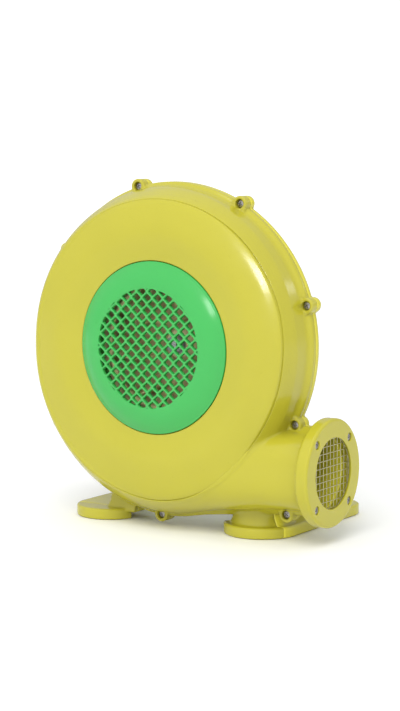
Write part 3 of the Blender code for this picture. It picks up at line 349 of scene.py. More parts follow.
def cavity(x, y, z, side):
    """Air space inside one half."""
    radius, angle = polar(x, z)
    lip, crease = LIP(angle), CREASE(angle)
    rim = radius - (lip - LIP_H - WALL)
    if side < 0:
        width, depth, power = shoulder(lip, crease)
        drum = corner(rim, (FACE_Y + 0.0042) - y, width + 0.002, 0.024 + depth, power)
        out = ramp((radius - 0.120) / 0.030)
        dome = np.maximum(-0.0535 + 0.0030 * out * out - y, radius - (crease - 0.0100))
        body = join(drum, dome, 0.0020)
    else:
        body = corner(rim, y - (BACK_Y - 0.0032), lip - LIP_H - BOWL_R, BACK_Y - 0.004)
    half_y, half_z = DUCT_HALF_Y(x) - WALL, DUCT_HALF_Z(x) - WALL
    level = distance(y / half_y, (z - (DUCT_CENTRE(x) + AXIS_Z)) / half_z)
    way = np.maximum((level - 1) * np.minimum(half_y, half_z), -0.046 - x)
    return join(body, way, 0.012)


def duct(x, y, z):
    centre, half_z, half_y = DUCT_CENTRE(x) + AXIS_Z, DUCT_HALF_Z(x), DUCT_HALF_Y(x)
    power = DUCT_POWER(x)
    power = np.where(z > centre, power, np.minimum(power, 2.5))
    level = (np.abs(y / half_y) ** power + np.abs((z - centre) / half_z) ** power) ** (1 / power)
    return meet((level - 1) * np.minimum(half_y, half_z), -0.052 - x, 0.01)


def duct_lip(x, y, z):
    """Seam lip along the top and bottom of the duct."""
    from_centre = np.abs(z - (DUCT_CENTRE(x) + AXIS_Z))
    half_z = DUCT_HALF_Z(x)
    band = lip_profile(from_centre - (half_z + LIP_H - 0.0006), y)
    band = np.maximum(band, half_z * 0.80 - from_centre)
    return meet(band, slab(x, 0.012, 0.1740), 0.001)


def skin(x, y, z, side):
    """Outer skin of one half: scroll, duct and their lip, with moulded fillets."""
    body = join(scroll(x, y, z, side), duct(x, y, z), 0.008)
    return join(body, duct_lip(x, y, z), 0.003)


def pad_plan(out, y, pad, rear):
    """Plan of a foot pad; out is the distance to its side. The rear part is scalloped inside."""
    centre, front_y, radius = pad
    front = distance(out - centre, y - front_y) - radius
    if not rear:
        return np.where(y > front_y, np.abs(out - centre) - radius, front)
    back = rounded(np.abs(out - centre) - radius, y - PAD_BACK, PAD_CORNER)
    plan = np.where(y < front_y, front, back)
    wide, long = 0.041, 0.066
    scallop = 1.0 - distance((out - (centre - radius - 0.006)) / wide, (y - 0.068) / long)
    return meet(plan, scallop * wide, 0.010)


def outlet_side_column(x, y, z):
    """Rounded column on the +X foot, flared at its base."""
    centre, front_y, _ = PADS[1]
    flare = 1 - ramp((z - PAD_T) / (0.036 - PAD_T))
    radius = 0.0295 + 0.0045 * flare ** 2.2
    column = distance(x - centre, y - np.clip(y, front_y, 0.022)) - radius
    return meet(column, slab(z, PAD_T - 0.004, 0.052), 0.002)


def far_side_column(x, y, z):
    """Square column on the -X foot, flared at its outer and front faces."""
    flare = (1 - ramp((z - PAD_T) / (0.030 - PAD_T))) ** 2
    plan = np.maximum(slab(x, -0.0925 - 0.0050 * flare, -0.0600),
                      slab(y, -0.0050 - 0.002 * flare, 0.034))
    return rounded(plan, slab(z, PAD_T - 0.004, 0.042), 0.0030)


def foot_rib(x, y, z, foot):
    """Rib from the casing back along the pad."""
    top = np.interp(y, *zip(*RIB_TOP))
    upright = np.maximum(slab(z, 0.005, 1.0), (z - top) * 0.9)
    rib = meet(np.abs(x - foot * RIB_X) - 0.0030, upright, 0.0022)
    return meet(rib, slab(y, 0.012, 0.160), 0.002)


def add_feet(body, x, y, z, rear):
    for foot, column in ((1, outlet_side_column), (-1, far_side_column)):
        pad = rounded(pad_plan(foot * x, y, PADS[foot], rear), slab(z, 0.0, PAD_T), 0.0022)
        body = join(body, column(x, y, z), 0.0035)
        body = join(body, pad, 0.0022)
        if rear:
            body = join(body, foot_rib(x, y, z, foot), 0.0045)
    return body


def add_lugs(body, x, y, z, side):
    """Seam lugs, each with a web that widens away from the screw."""
    for lug_x, lug_z, way_x, way_z in SEAM_LUGS:
        along = np.clip((x - lug_x) * way_x + (z - lug_z) * way_z, 0, 0.010)
        web = distance(x - lug_x - along * way_x, z - lug_z - along * way_z)
        web = web - (LUG_R + 0.20 * along)
        end = side * y - LUG_Y
        if side < 0:
            end = end - 0.10 * along
        lug = rounded(web, end, 0.0014 if side < 0 else 0.0045)
        body = join(body, lug, 0.0020)
    return body


def half_blank(x, y, z, side):
    """Skin of one half, and the same with lugs, feet and the duct's collar."""
    bare = skin(x, y, z, side)
    body = add_lugs(bare, x, y, z, side)
    body = add_feet(body, x, y, z, side > 0)
    collar = meet(distance(y, z - OUTLET_Z) - COLLAR_R, slab(x, *COLLAR_X), 0.001)
    return bare, join(body, collar, 0.002)


def bore_outlet(body, x, y, z):
    bore = np.maximum(distance(y, z - OUTLET_Z) - BORE_R, BORE_X - x)
    return cut(body, bore, 0.0008)


def finish_half(body, x, y, z, side):
    """Bores for the seam screws, then the end and seam planes."""
    for lug_x, lug_z, _, _ in SEAM_LUGS:
        out = distance(x - lug_x, z - lug_z)
        head = np.maximum(out - HEAD_BORE_R, y + 0.0052)
        shank = np.maximum(out - SHANK_BORE_R, -y - 0.012)
        body = cut(body, np.minimum(head, shank), 0.0007)
    body = meet(body, x - COLLAR_X[1], 0.0006)
    return meet(body, SEAM - side * y, 0.0012)


def face_margin(angle):
    """How far the face piece runs past the crease."""
    return np.clip(LIP(angle) - FRONT_H - CREASE(angle) - 0.0030, 0.0012, 0.0045)


def front_field(x, y, z):
    bare, body = half_blank(x, y, z, -1)
    radius, angle = polar(x, z)
    # rebate that the face piece fills
    rebate = np.maximum(radius - (CREASE(angle) + face_margin(angle) - FACE_REBATE),
                        np.maximum(-(bare + FACE_REBATE), y + 0.030))
    body = np.maximum(body, -rebate)
    # seat of the intake cover, and the eye under it
    body = cut(body, np.maximum(radius - SEAT_R, y - SEAT_Y), 0.0010)
    body = cut(body, cavity(x, y, z, -1), 0.0012)
    body = cut(body, np.maximum(radius - 0.0742, y + 0.046), 0.0008)
    body = bore_outlet(body, x, y, z)
    return finish_half(body, x, y, z, -1)


def rear_field(x, y, z):
    body = half_blank(x, y, z, 1)[1]
    radius = distance(x, z - AXIS_Z)
    # raised ring on the back
    ring = rounded(np.abs(radius - 0.1040) - 0.0022, slab(y, 0.030, 0.0545), 0.0012)
    body = join(body, ring, 0.002)
    body = cut(body, cavity(x, y, z, 1), 0.0012)
    # central hole, then the bores through the back
    through = 0.040 - y
    body = cut(body, np.maximum(radius - 0.0240, through), 0.0008)
    body = bore_outlet(body, x, y, z)
    body = drill(body, x, z, MOTOR_BOLTS, 0.0024, through)
    body = drill(body, x, z, COVER_BOLTS, COVER_BOLT_R, through)
    return finish_half(body, x, y, z, 1)


def ring_field(x, y, z):
    """Outlet ring: a thick flange with softened edges, open at the back for the collar."""
    rise = z - OUTLET_Z
    radius = distance(y, rise)
    back = OUTLET_X - RING_T
    body = rounded(radius - RING_R, slab(x, back - 0.0022, OUTLET_X), 0.0030)
    flare = 0.0012 * ramp((x - OUTLET_X + 0.003) / 0.003) ** 2
    body = meet(body, (BORE_R - radius) - flare, 0.0010)
    body = cut(body, np.maximum(radius - 0.0538, x - (back + 0.0005)), 0.0006)
    body = cut(body, np.maximum(radius - 0.0404, x - (OUTLET_X - 0.0030)), 0.0006)
    for bolt_y, bolt_z in RING_BOLTS:
        out = distance(y - bolt_y, rise - bolt_z)
        head = np.maximum(out - 0.0045, (OUTLET_X - 0.0040) - x)
        body = cut(body, np.minimum(head, out - 0.0020), 0.0006)
    return body


# ------------------------------------------------------------------ covers and screw as fields
def lattice_hole(x, rise, taper):
    """Lozenge holes on a square lattice turned by 45 degrees; taper scales the holes."""
    half_turn = 0.70711
    a, b = (x + rise) * half_turn, (rise - x) * half_turn
    cell_a = ((a / PITCH + 0.5) % 1.0 - 0.5) * PITCH
    cell_b = ((b / PITCH + 0.5) % 1.0 - 0.5) * PITCH
    cell_x, cell_z = (cell_a - cell_b) * half_turn, (cell_a + cell_b) * half_turn
    wide, high = HOLE_A * taper, HOLE_B * taper
    # the small constants round the lozenge's points
    across = np.sqrt(cell_x * cell_x + 4.0e-7) * high
    upward = np.sqrt(cell_z * cell_z + 6.0e-7) * wide
    return (across + upward - wide * high) / np.sqrt(wide * wide + high * high)


def cover_field(x, y, z):
    """Intake cover: a dome with a lattice window, a rim and a skirt that drops into the eye."""
    rise = z - AXIS_Z
    radius = distance(x, rise)
    outer = ramp((radius - 0.060) / (COVER_R - 0.060))
    dish = 0.0012 * (np.minimum(radius, GRILLE_R) / GRILLE_R) ** 2
    top = GRILLE_Y - 0.0012 + dish + 0.0104 * outer ** 2.3
    fall = 0.6 * outer
    scale = 1.0 / np.sqrt(1 + fall * fall)
    thick = 0.0052 - 0.0022 * outer
    body = np.maximum((top - y) * scale, (y - top - thick) * scale)
    body = meet(body, radius - COVER_R, 0.0022)
    rim = rounded(np.abs(radius - (COVER_R - 0.0016)) - 0.0016, slab(y, -0.0592, -0.0549), 0.0009)
    body = join(body, rim, 0.0012)
    skirt = rounded(np.abs(radius - 0.0722) - 0.0012, slab(y, -0.0660, -0.0482), 0.0008)
    body = join(body, skirt, 0.0010)
    hole = lattice_hole(x, rise, 1.0 - 26.0 * np.clip(y - top, 0, 0.006))
    body = cut(body, meet(hole, radius - GRILLE_R, 0.0012), 0.0014)
    # pry notch in the rim, low on the outlet side
    (notch_x, notch_z), = bolt_circle(COVER_R, (-47,))
    notch = np.sqrt((x - notch_x) ** 2 + (rise - notch_z) ** 2 + (y + 0.0555) ** 2) - 0.0026
    return cut(body, notch, 0.0006)


def motor_grooves(x, y, rise, turn):
    """Depth of the shallow grooves round the motor cover, clear of the switch and the cord."""
    off = np.abs(((turn / (2 * math.pi) * FINS) + 0.5) % 1.0 - 0.5) * 2 * math.pi * MOTOR_R / FINS
    band = ramp((slab(y, 0.070, 0.134) + 0.002) / 0.002)
    near_switch = ramp((0.030 - distance(x + MOTOR_R, rise)) / 0.004)
    near_cord = ramp((0.020 - distance(x, rise + MOTOR_R)) / 0.004)
    return 0.0009 * ramp(1 - off / 0.0016) * (1 - band) * (1 - near_switch) * (1 - near_cord)


# Rings of radial slots in the back of the motor cover: inner radius, outer radius, count
SLOT_RINGS = ((0.0170, 0.0330, 10), (0.0375, 0.0550, 16))


def motor_cover_field(x, y, z):
    rise = z - AXIS_Z
    radius = distance(x, rise)
    turn = np.arctan2(rise, x)
    base = BACK_Y + 0.0003
    taper = 0.0012 * ramp((y - base) / 0.09)
    body = corner(radius - MOTOR_R + taper, y - COVER_BACK_Y, 0.014, 0.012)
    # land under the switch, boss round the cord, flange on the casing
    land = rounded(box2(y - SWITCH_Y, 0.0150, rise, 0.0190), slab(x, SWITCH_X, -0.060), 0.0012)
    body = join(body, land, 0.0025)
    from_cord = distance(x, y - CORD_Y)
    boss_z = slab(z, AXIS_Z - MOTOR_R - CORD_BOSS, AXIS_Z - 0.062)
    body = join(body, rounded(from_cord - 0.0100, boss_z, 0.0012), 0.0025)
    flange = rounded(radius - (MOTOR_R + 0.0105), slab(y, base, base + 0.0032), 0.0012)
    body = join(body, flange, 0.0022) + motor_grooves(x, y, rise, turn)
    wall = 0.0024
    inner = corner(radius - (MOTOR_R - wall) + taper, y - (COVER_BACK_Y - wall), 0.012, 0.010)
    body = cut(body, inner, 0.0008)
    for inner_r, outer_r, count in SLOT_RINGS:
        share = turn / (2 * math.pi) * count
        off = (np.floor(share) + 0.5 - share) * 2 * math.pi / count
        plan = np.maximum(np.abs(np.sin(off) * radius) - 0.0023,
                          slab(np.cos(off) * radius, inner_r, outer_r))
        slot = rounded(plan, slab(y, COVER_BACK_Y - 0.006, COVER_BACK_Y + 0.01), 0.0016)
        body = cut(body, slot, 0.0007)
    window = np.maximum(box2(y - SWITCH_Y, 0.0095, rise, 0.0130), slab(x, -0.09, -0.05))
    body = cut(body, window, 0.0005)
    body = cut(body, np.maximum(from_cord - 0.0066, z - (AXIS_Z - 0.060)), 0.0006)
    return drill(body, x, z, COVER_BOLTS, COVER_BOLT_R, y - 0.062)


def screw_field(x, y, z):
    """Pan-head cross-recess screw: the head's top is near z = 0 and the shank runs to -z."""
    radius = distance(x, y)
    head = rounded(radius - 0.0042, slab(z, -0.0026, 0.0006), 0.0011)
    head = meet(head, distance(radius, z + 0.0080) - 0.0084, 0.0006)
    shank = rounded(radius - 0.0017, slab(z, -0.0130, -0.0020), 0.0003)
    body = join(head, shank, 0.0003)
    # cross recess, narrowing with depth
    above = z + 0.0016
    arm = 0.00042 + 0.10 * np.maximum(above, 0)
    reach = 0.0019 + 0.30 * np.clip(above, -0.0005, 0.002)
    cross = np.minimum(box2(x, arm, y, reach), box2(y, arm, x, reach))
    return cut(body, np.maximum(cross, -above), 0.00018)


# ------------------------------------------------------------------ field to mesh
def pull_to_zero(field, points, step):
    """Newton steps that bring the points onto the field's zero."""
    reach = step * 0.25
    for _ in range(3):
        value = field(points[:, 0], points[:, 1], points[:, 2])
        slope = np.empty_like(points)
        for axis in range(3):
            probe = points.copy()
            probe[:, axis] += reach
            ahead = field(probe[:, 0], probe[:, 1], probe[:, 2])
            probe[:, axis] -= 2 * reach
            behind = field(probe[:, 0], probe[:, 1], probe[:, 2])
            slope[:, axis] = (ahead - behind) / (2 * reach)
        steepness = np.maximum((slope * slope).sum(1), 0.05)
        move = -(value / steepness)[:, None] * slope
        size = np.sqrt((move * move).sum(1))
        move *= np.minimum(1, 0.7 * step / np.maximum(size, 1e-9))[:, None]
        points = points + move
    return points


def surface_nets(field, low, high, step):
    """Points and quads of the field's zero: one point in each cell that the surface crosses."""
    count = [int(round((b - a) / step)) + 1 for a, b in zip(low, high)]
    grid_x, grid_y, grid_z = np.ix_(*[a + step * np.arange(m) for a, m in zip(low, count)])
    values = np.empty(count, np.float32)
    for i in range(0, count[0], 24):
        values[i:i + 24] = field(grid_x[i:i + 24], grid_y, grid_z)
    inside = values < 0
    corners = [(i, j, k) for i in (0, 1) for j in (0, 1) for k in (0, 1)]
    total = sum(inside[i:count[0] - 1 + i, j:count[1] - 1 + j, k:count[2] - 1 + k].astype(np.int8)
                for i, j, k in corners)
    active = np.argwhere((total > 0) & (total < 8))
    index = np.full([m - 1 for m in count], -1, np.int32)
    index[tuple(active.T)] = np.arange(len(active))

    # each point is the mean of the crossings on its cell's edges
    crossings = np.zeros((len(active), 3))
    hits = np.zeros(len(active))
    for start in corners:
        for axis in range(3):
            if start[axis]:
                continue
            end = list(start)
            end[axis] = 1
            at_start = values[tuple((active + start).T)]
            at_end = values[tuple((active + end).T)]
            hit = (at_start < 0) != (at_end < 0)
            share = np.where(hit, at_start / np.where(hit, at_start - at_end, 1), 0)
            point = np.tile(np.array(start, float), (len(active), 1))
            point[:, axis] += share
            crossings += point * hit[:, None]
            hits += hit
    points = (active + crossings / hits[:, None]) * step + np.array(low)

    # one quad round each grid edge that the surface crosses
    faces = []
    for axis in range(3):
        first, second = [slice(None)] * 3, [slice(None)] * 3
        first[axis], second[axis] = slice(0, -1), slice(1, None)
        starts = inside[tuple(first)]
        edges = np.argwhere(starts != inside[tuple(second)])
        p, q = [k for k in range(3) if k != axis]
        keep = ((edges[:, p] > 0) & (edges[:, q] > 0)
                & (edges[:, p] < count[p] - 1) & (edges[:, q] < count[q] - 1))
        edges = edges[keep]
        flip = starts[tuple(edges.T)]
        quad = []
        for step_p, step_q in ((-1, -1), (0, -1), (0, 0), (-1, 0)):
            cell = edges.copy()
            cell[:, p] += step_p
            cell[:, q] += step_q
            quad.append(index[tuple(cell.T)])
        quad = np.stack(quad, 1)
        if axis == 1:
            flip = ~flip
        faces.append(np.where(flip[:, None], quad, quad[:, ::-1]))
    return pull_to_zero(field, points, step), np.concatenate(faces)


def quad_mesh(name, points, quads):
    mesh = bpy.data.meshes.new(name)
    mesh.vertices.add(len(points))
    mesh.vertices.foreach_set("co", np.asarray(points, np.float32).ravel())
    mesh.loops.add(len(quads) * 4)
    mesh.loops.foreach_set("vertex_index", np.asarray(quads, np.int32).ravel())
    mesh.polygons.add(len(quads))
    mesh.polygons.foreach_set("loop_start", np.arange(0, len(quads) * 4, 4, dtype=np.int32))
    mesh.update(calc_edges=True)
    mesh.validate()
    mesh.shade_smooth()
    return mesh


def list_mesh(name, verts, faces, sharp=40):
    """Mesh from lists; edges steeper than sharp degrees stay sharp."""
    mesh = bpy.data.meshes.new(name)
    mesh.from_pydata([tuple(v) for v in verts], [], faces)
    work = bmesh.new()
    work.from_mesh(mesh)
    bmesh.ops.recalc_face_normals(work, faces=work.faces)
    work.to_mesh(mesh)
    work.free()
    mesh.shade_smooth()
    mesh.set_sharp_from_angle(angle=math.radians(sharp))
    return mesh


def link_object(name, data):
    ob = bpy.data.objects.new(name, data)
    bpy.context.scene.collection.objects.link(ob)
    return ob


def add(name, mesh, slot, node, body="casing", matrix=None):
    """Put a mesh in the scene in place of a frame node, riding on a body of the frame."""
    if not mesh.materials:
        mesh.materials.append(MATERIALS[slot])
    ob = link_object(name, mesh)
    if matrix is not None:
        ob.matrix_world = matrix
    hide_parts(node)
    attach(ob, body)


def field_piece(name, field, low, high, step, slot, node, body="casing"):
    points, quads = surface_nets(field, low, high, step)
    points[:, 2] = np.maximum(points[:, 2], 0.0)
    add(name, quad_mesh(name, points + np.array(SHIFT), quads), slot, node, body)


# ------------------------------------------------------------------ materials
class Shader:
    """A material under construction, with textures laid out by position."""

    def __init__(self, name):
        self.material = bpy.data.materials.new(name)
        self.material.use_nodes = True
        self.tree = self.material.node_tree
        self.inputs = self.tree.nodes["Principled BSDF"].inputs
        self.position = self.new("ShaderNodeNewGeometry").outputs["Position"]

    def new(self, kind, **settings):
        node = self.tree.nodes.new(kind)
        for key, value in settings.items():
            setattr(node, key, value)
        return node

    def link(self, output, target):
        self.tree.links.new(output, target)

    def pointiness(self):
        return self.new("ShaderNodeNewGeometry").outputs["Pointiness"]

    def noise(self, scale, detail=3.0, rough=0.5, stretch=None):
        node = self.new("ShaderNodeTexNoise")
        node.inputs["Scale"].default_value = scale
        node.inputs["Detail"].default_value = detail
        node.inputs["Roughness"].default_value = rough
        if stretch:
            mapping = self.new("ShaderNodeMapping")
            mapping.inputs["Scale"].default_value = stretch
            self.link(self.position, mapping.inputs["Vector"])
            self.link(mapping.outputs[0], node.inputs["Vector"])
        else:
            self.link(self.position, node.inputs["Vector"])
        return node.outputs[0]

    def span(self, value, source, target):
        """Map the source range of value onto the target range, clamped."""
        node = self.new("ShaderNodeMapRange")
        node.clamp = True
        for i, limit in enumerate((*source, *target), 1):
            node.inputs[i].default_value = limit
        self.link(value, node.inputs[0])
        return node.outputs[0]

    def mix(self, share, first, second):
        node = self.new("ShaderNodeMix", data_type="RGBA")
        self.link(share, node.inputs[0])
        for i, colour in ((6, first), (7, second)):
            if isinstance(colour, tuple):
                node.inputs[i].default_value = (*colour, 1)
            else:
                self.link(colour, node.inputs[i])
        return node.outputs[2]

    def bump(self, *layers):
        """Stacked bumps, each (height, strength, distance)."""
        normal = None
        for height, strength, depth in layers:
            node = self.new("ShaderNodeBump")
            node.inputs["Strength"].default_value = strength
            node.inputs["Distance"].default_value = depth
            self.link(height, node.inputs["Height"])
            if normal is not None:
                self.link(normal, node.inputs["Normal"])
            normal = node.outputs[0]
        self.link(normal, self.inputs["Normal"])


def tint(colour, factor):
    return tuple(min(1.0, v * factor) for v in colour)


def plastic(name, colour, deep, rough, grain=0.35, wear=0.12, subsurface=0.0):
    """Moulded plastic: cloudy colour, dark specks, painted shade in hollows, paler worn edges."""
    shader = Shader(name)
    cloud = shader.span(shader.noise(scale=9.0, detail=4.0, rough=0.55), (0.3, 0.7), (0.0, 1.0))
    fine = shader.noise(scale=420.0, detail=2.0)
    base = shader.mix(cloud, tint(colour, 0.975), tint(colour, 1.02))
    pointiness = shader.pointiness()
    # painted shade: the dark colour is mixed in where pointiness is low, in creases and hollows
    painted_hollow_shade = shader.span(pointiness, (0.44, 0.495), (1.0, 0.0))
    base = shader.mix(shader.span(painted_hollow_shade, (0, 1), (0.0, 0.55)), base, deep)
    edge = shader.span(pointiness, (0.53, 0.60), (0.0, wear))
    base = shader.mix(edge, base, tuple(0.5 * v + 0.5 * max(colour) for v in colour))
    specks = shader.span(fine, (0.66, 0.74), (0.0, 0.10))
    base = shader.mix(specks, base, deep)
    shader.link(base, shader.inputs["Base Color"])
    handled = shader.noise(scale=24.0, detail=5.0, rough=0.6)
    shader.link(shader.span(handled, (0.3, 0.7), (rough - 0.04, rough + 0.06)),
                shader.inputs["Roughness"])
    shader.inputs["IOR"].default_value = 1.49
    if subsurface:
        shader.inputs["Subsurface Weight"].default_value = subsurface
        shader.inputs["Subsurface Radius"].default_value = (0.006, 0.005, 0.001)
        shader.inputs["Subsurface Scale"].default_value = 1.0
    shader.bump((shader.noise(scale=1500.0, detail=2.0, rough=0.6), grain * 0.10, 0.0003),
                (shader.noise(scale=38.0, detail=2.0, rough=0.4), 0.05, 0.0010))
    return shader.material


def metal(name, colour, rough, brushed=None, stain=(0.20, 0.17, 0.13), amount=0.25):
    """Stained metal with bright edges; brushed stretches the fine grain along the axes."""
    shader = Shader(name)
    cloud = shader.span(shader.noise(scale=140.0, detail=5.0, rough=0.6), (0.35, 0.7), (0.0, 1.0))
    base = shader.mix(shader.span(cloud, (0, 1), (0, amount)), colour, stain)
    edge = shader.span(shader.pointiness(), (0.52, 0.60), (0.0, 0.5))
    base = shader.mix(edge, base, tint(colour, 1.25))
    shader.link(base, shader.inputs["Base Color"])
    shader.inputs["Metallic"].default_value = 1.0
    uneven = shader.noise(scale=300.0, detail=4.0, rough=0.6)
    shader.link(shader.span(uneven, (0.3, 0.7), (rough - 0.07, rough + 0.10)),
                shader.inputs["Roughness"])
    shader.bump((shader.noise(scale=900.0, rough=0.6, stretch=brushed), 0.12, 0.0002))
    return shader.material


# One finish for each material slot of the frame
# each plastic's dark colour serves both its specks and the painted shade in its hollows
FINISHES = (
    (plastic, "casing_yellow", dict(colour=(0.440, 0.404, 0.030), deep=(0.24, 0.22, 0.006),
                                    rough=0.19, grain=0.12, wear=0.08, subsurface=0.05)),
    (plastic, "cover_green", dict(colour=(0.043, 0.398, 0.080), deep=(0.005, 0.12, 0.010),
                                  rough=0.17, grain=0.12, wear=0.08, subsurface=0.04)),
    (metal, "screw_steel", dict(colour=(0.42, 0.41, 0.42), rough=0.36)),
    (metal, "guard_wire", dict(colour=(0.60, 0.57, 0.33), rough=0.32, amount=0.10)),
    (plastic, "impeller_grey", dict(colour=(0.74, 0.66, 0.33), deep=(0.22, 0.18, 0.08),
                                    rough=0.45)),
    (metal, "shaft_steel", dict(colour=(0.56, 0.56, 0.58), rough=0.25, brushed=(1, 12, 1),
                                amount=0.10)),
    (metal, "lamination_steel", dict(colour=(0.22, 0.22, 0.23), rough=0.45, brushed=(1, 60, 1),
                                     amount=0.35)),
    (metal, "winding_copper", dict(colour=(0.50, 0.17, 0.06), rough=0.40, brushed=(40, 40, 6),
                                   stain=(0.16, 0.04, 0.01), amount=0.45)),
    (metal, "bell_aluminium", dict(colour=(0.60, 0.61, 0.62), rough=0.42, amount=0.15)),
    (plastic, "black_plastic", dict(colour=(0.022, 0.022, 0.023), deep=(0.004, 0.004, 0.004),
                                    rough=0.42)),
    (plastic, "cord_rubber", dict(colour=(0.018, 0.018, 0.019), deep=(0.004, 0.004, 0.004),
                                  rough=0.55, grain=0.8)),
    (metal, "plug_brass", dict(colour=(0.72, 0.54, 0.24), rough=0.28, amount=0.15)),
    (plastic, "capacitor_case", dict(colour=(0.62, 0.62, 0.60), deep=(0.2, 0.2, 0.2), rough=0.40)),
    (plastic, "rocker_red", dict(colour=(0.42, 0.012, 0.008), deep=(0.08, 0.0, 0.0), rough=0.28)),
)
MATERIALS = {}
for make, slot, options in FINISHES:
    MATERIALS[slot] = make(slot, **options)
for part in frame["record"]["subparts"]:
    part_mesh = NODES[part["node"]].data
    part_mesh.materials.clear()
    part_mesh.materials.append(MATERIALS[part["material_slot"]])

# ------------------------------------------------------------------ casing, covers, ring
field_piece("front_shell", front_field, (-0.2040, -0.0670, -0.0025), (0.1860, 0.0025, 0.3920),
            0.00120, "casing_yellow", "front_casing")
field_piece("rear_shell", rear_field, (-0.2040, -0.0022, -0.0025), (0.1860, 0.1870, 0.3920),
            0.00150, "casing_yellow", "rear_casing")
field_piece("intake_grille_cover", cover_field, (-0.0950, -0.0715, AXIS_Z - 0.0950),
            (0.0950, -0.0470, AXIS_Z + 0.0950), 0.00062, "cover_green", "intake_cover")
field_piece("outlet_flange", ring_field, (OUTLET_X - 0.0180, -0.0590, OUTLET_Z - 0.0590),
            (OUTLET_X + 0.0012, 0.0590, OUTLET_Z + 0.0590), 0.00070, "casing_yellow",
            "outlet_ring")
field_piece("motor_shroud", motor_cover_field, (-0.0870, 0.0530, AXIS_Z - 0.0870),
            (0.0870, 0.1500, AXIS_Z + 0.0870), 0.00110, "cover_green", "motor_cover")


def skin_height(x, z):
    """Y of the front skin at each x, z, by bisection."""
    low, high = np.full_like(x, -0.0750), np.full_like(x, -0.0300)
    for _ in range(26):
        middle = (low + high) / 2
        outside = skin(x, middle, z, -1) > 0
        low, high = np.where(outside, middle, low), np.where(outside, high, middle)
    return (low + high) / 2


def front_face():
    """The domed face and its crease as one fine polar mesh that lies on the shell's skin."""
    around = 960
    turn = np.linspace(0, 2 * math.pi, around, endpoint=False)
    angle = np.degrees(turn)
    angle = np.where(angle > 180, angle - 360, angle)
    crease, margin = CREASE(angle), face_margin(angle)
    seat = np.full(around, SEAT_R)
    # rows of radii: the seat, the dome, the roll, the crease and the margin past it
    rows = [seat, seat, seat + 0.0001, seat + 0.0010]
    for k in np.linspace(0, 1, 26)[1:]:
        rows.append(seat + 0.0010 + (crease - 0.0160 - seat - 0.0010) * k)
    for k in np.linspace(-0.0160, -0.0030, 16)[1:]:
        rows.append(crease + k)
    for k in np.linspace(-0.0030, 0.0012, 26)[1:]:
        rows.append(crease + k)
    for k in np.linspace(0, 1, 9)[1:]:
        rows.append(crease + 0.0012 + (margin - 0.0012) * k + 0.00001 * k)
    rows.append(crease + margin + 0.0002)
    radii = np.array(rows)
    x, z = radii * np.cos(turn), AXIS_Z + radii * np.sin(turn)
    y = skin_height(x, z) - 0.0001
    # the inner edge turns down into the seat, the outer edge into the shoulder
    y[0] = -0.0540
    y[1] += 0.0001
    y[-1] += 0.0022
    # a back a little under the face closes it to a thin solid
    count = len(rows)
    near = [y[np.clip(np.arange(count) + k, 3, count - 2)] for k in range(-6, 7)]
    under = np.max(near, axis=0) + 0.0008
    back = list(range(count - 3, 4, -3))
    x, y, z = [np.concatenate(pair) for pair in ((x, x[back]), (y, under[back]), (z, z[back]))]
    points = np.stack([x, y, z], -1).reshape(-1, 3) + np.array(SHIFT)
    count = len(x)
    here = np.arange(around)
    beside = (here + 1) % around
    quads = []
    for i in range(count):
        row, after = i * around, (i + 1) % count * around
        quads.append(np.stack([row + here, after + here, after + beside, row + beside], 1))
    return quad_mesh("front_face", points, np.concatenate(quads))


add("front_face", front_face(), "casing_yellow", "front_casing")


# ------------------------------------------------------------------ outlet guard
def sweep(path, radius, sides):
    """Capped tube along a path."""
    path = [Vector(p) for p in path]
    last = len(path) - 1
    verts, faces = [], []
    across = None
    for i, point in enumerate(path):
        along = (path[min(i + 1, last)] - path[max(i - 1, 0)]).normalized()
        if across is None:
            across = along.cross(Vector((0.31, 0.17, 0.93))).normalized()
        else:
            across = (across - along * across.dot(along)).normalized()
        other = along.cross(across)
        for k in range(sides):
            turn = 2 * math.pi * k / sides
            verts.append(point + across * (radius * math.cos(turn))
                         + other * (radius * math.sin(turn)))
    for i in range(last):
        for k in range(sides):
            m = (k + 1) % sides
            row, after = i * sides, (i + 1) * sides
            faces.append((row + k, after + k, after + m, row + m))
    faces.append(tuple(range(sides)))
    faces.append(tuple(range((last + 1) * sides - 1, last * sides - 1, -1)))
    return verts, faces


GUARD_R = 0.0396
GUARD_X = OUTLET_X - 0.0040
GUARD_PITCH = 0.0073
WIRE_R, HOOP_R = 0.00042, 0.00065
WIRE_OFFSET = 0.00045    # of each layer from the guard's plane


def guard_mesh():
    """Welded guard: level wires in front, upright wires behind, trimmed to a circle, on a hoop."""
    tubes = []
    for i in range(-5, 6):
        offset = i * GUARD_PITCH
        reach = math.sqrt(GUARD_R * GUARD_R - offset * offset)
        for level in (True, False):
            x = GUARD_X + (WIRE_OFFSET if level else -WIRE_OFFSET)
            path = []
            for k in range(25):
                along = -reach + 2 * reach * k / 24
                bow = 0.00006 * math.sin(k * 1.3 + i)
                y, rise = (along, offset) if level else (offset, along)
                path.append((x + bow, y, OUTLET_Z + rise))
            tubes.append((path, WIRE_R))
    turns = [2 * math.pi * k / 96 for k in range(97)]
    tubes.append(([(GUARD_X, GUARD_R * math.cos(a), OUTLET_Z + GUARD_R * math.sin(a))
                   for a in turns], HOOP_R))
    verts, faces = [], []
    for path, radius in tubes:
        tube_verts, tube_faces = sweep(path, radius, sides=10)
        base = len(verts)
        verts.extend(tube_verts)
        faces.extend(tuple(i + base for i in face) for face in tube_faces)
    return list_mesh("guard_wires", [v + SHIFT for v in verts], faces)


add("guard_wires", guard_mesh(), "guard_wire", "outlet_guard")

# ------------------------------------------------------------------ screws
SCREW = quad_mesh("pan_head_screw", *surface_nets(
    screw_field, (-0.0048, -0.0048, -0.0136), (0.0048, 0.0048, 0.0012),
    0.00022))


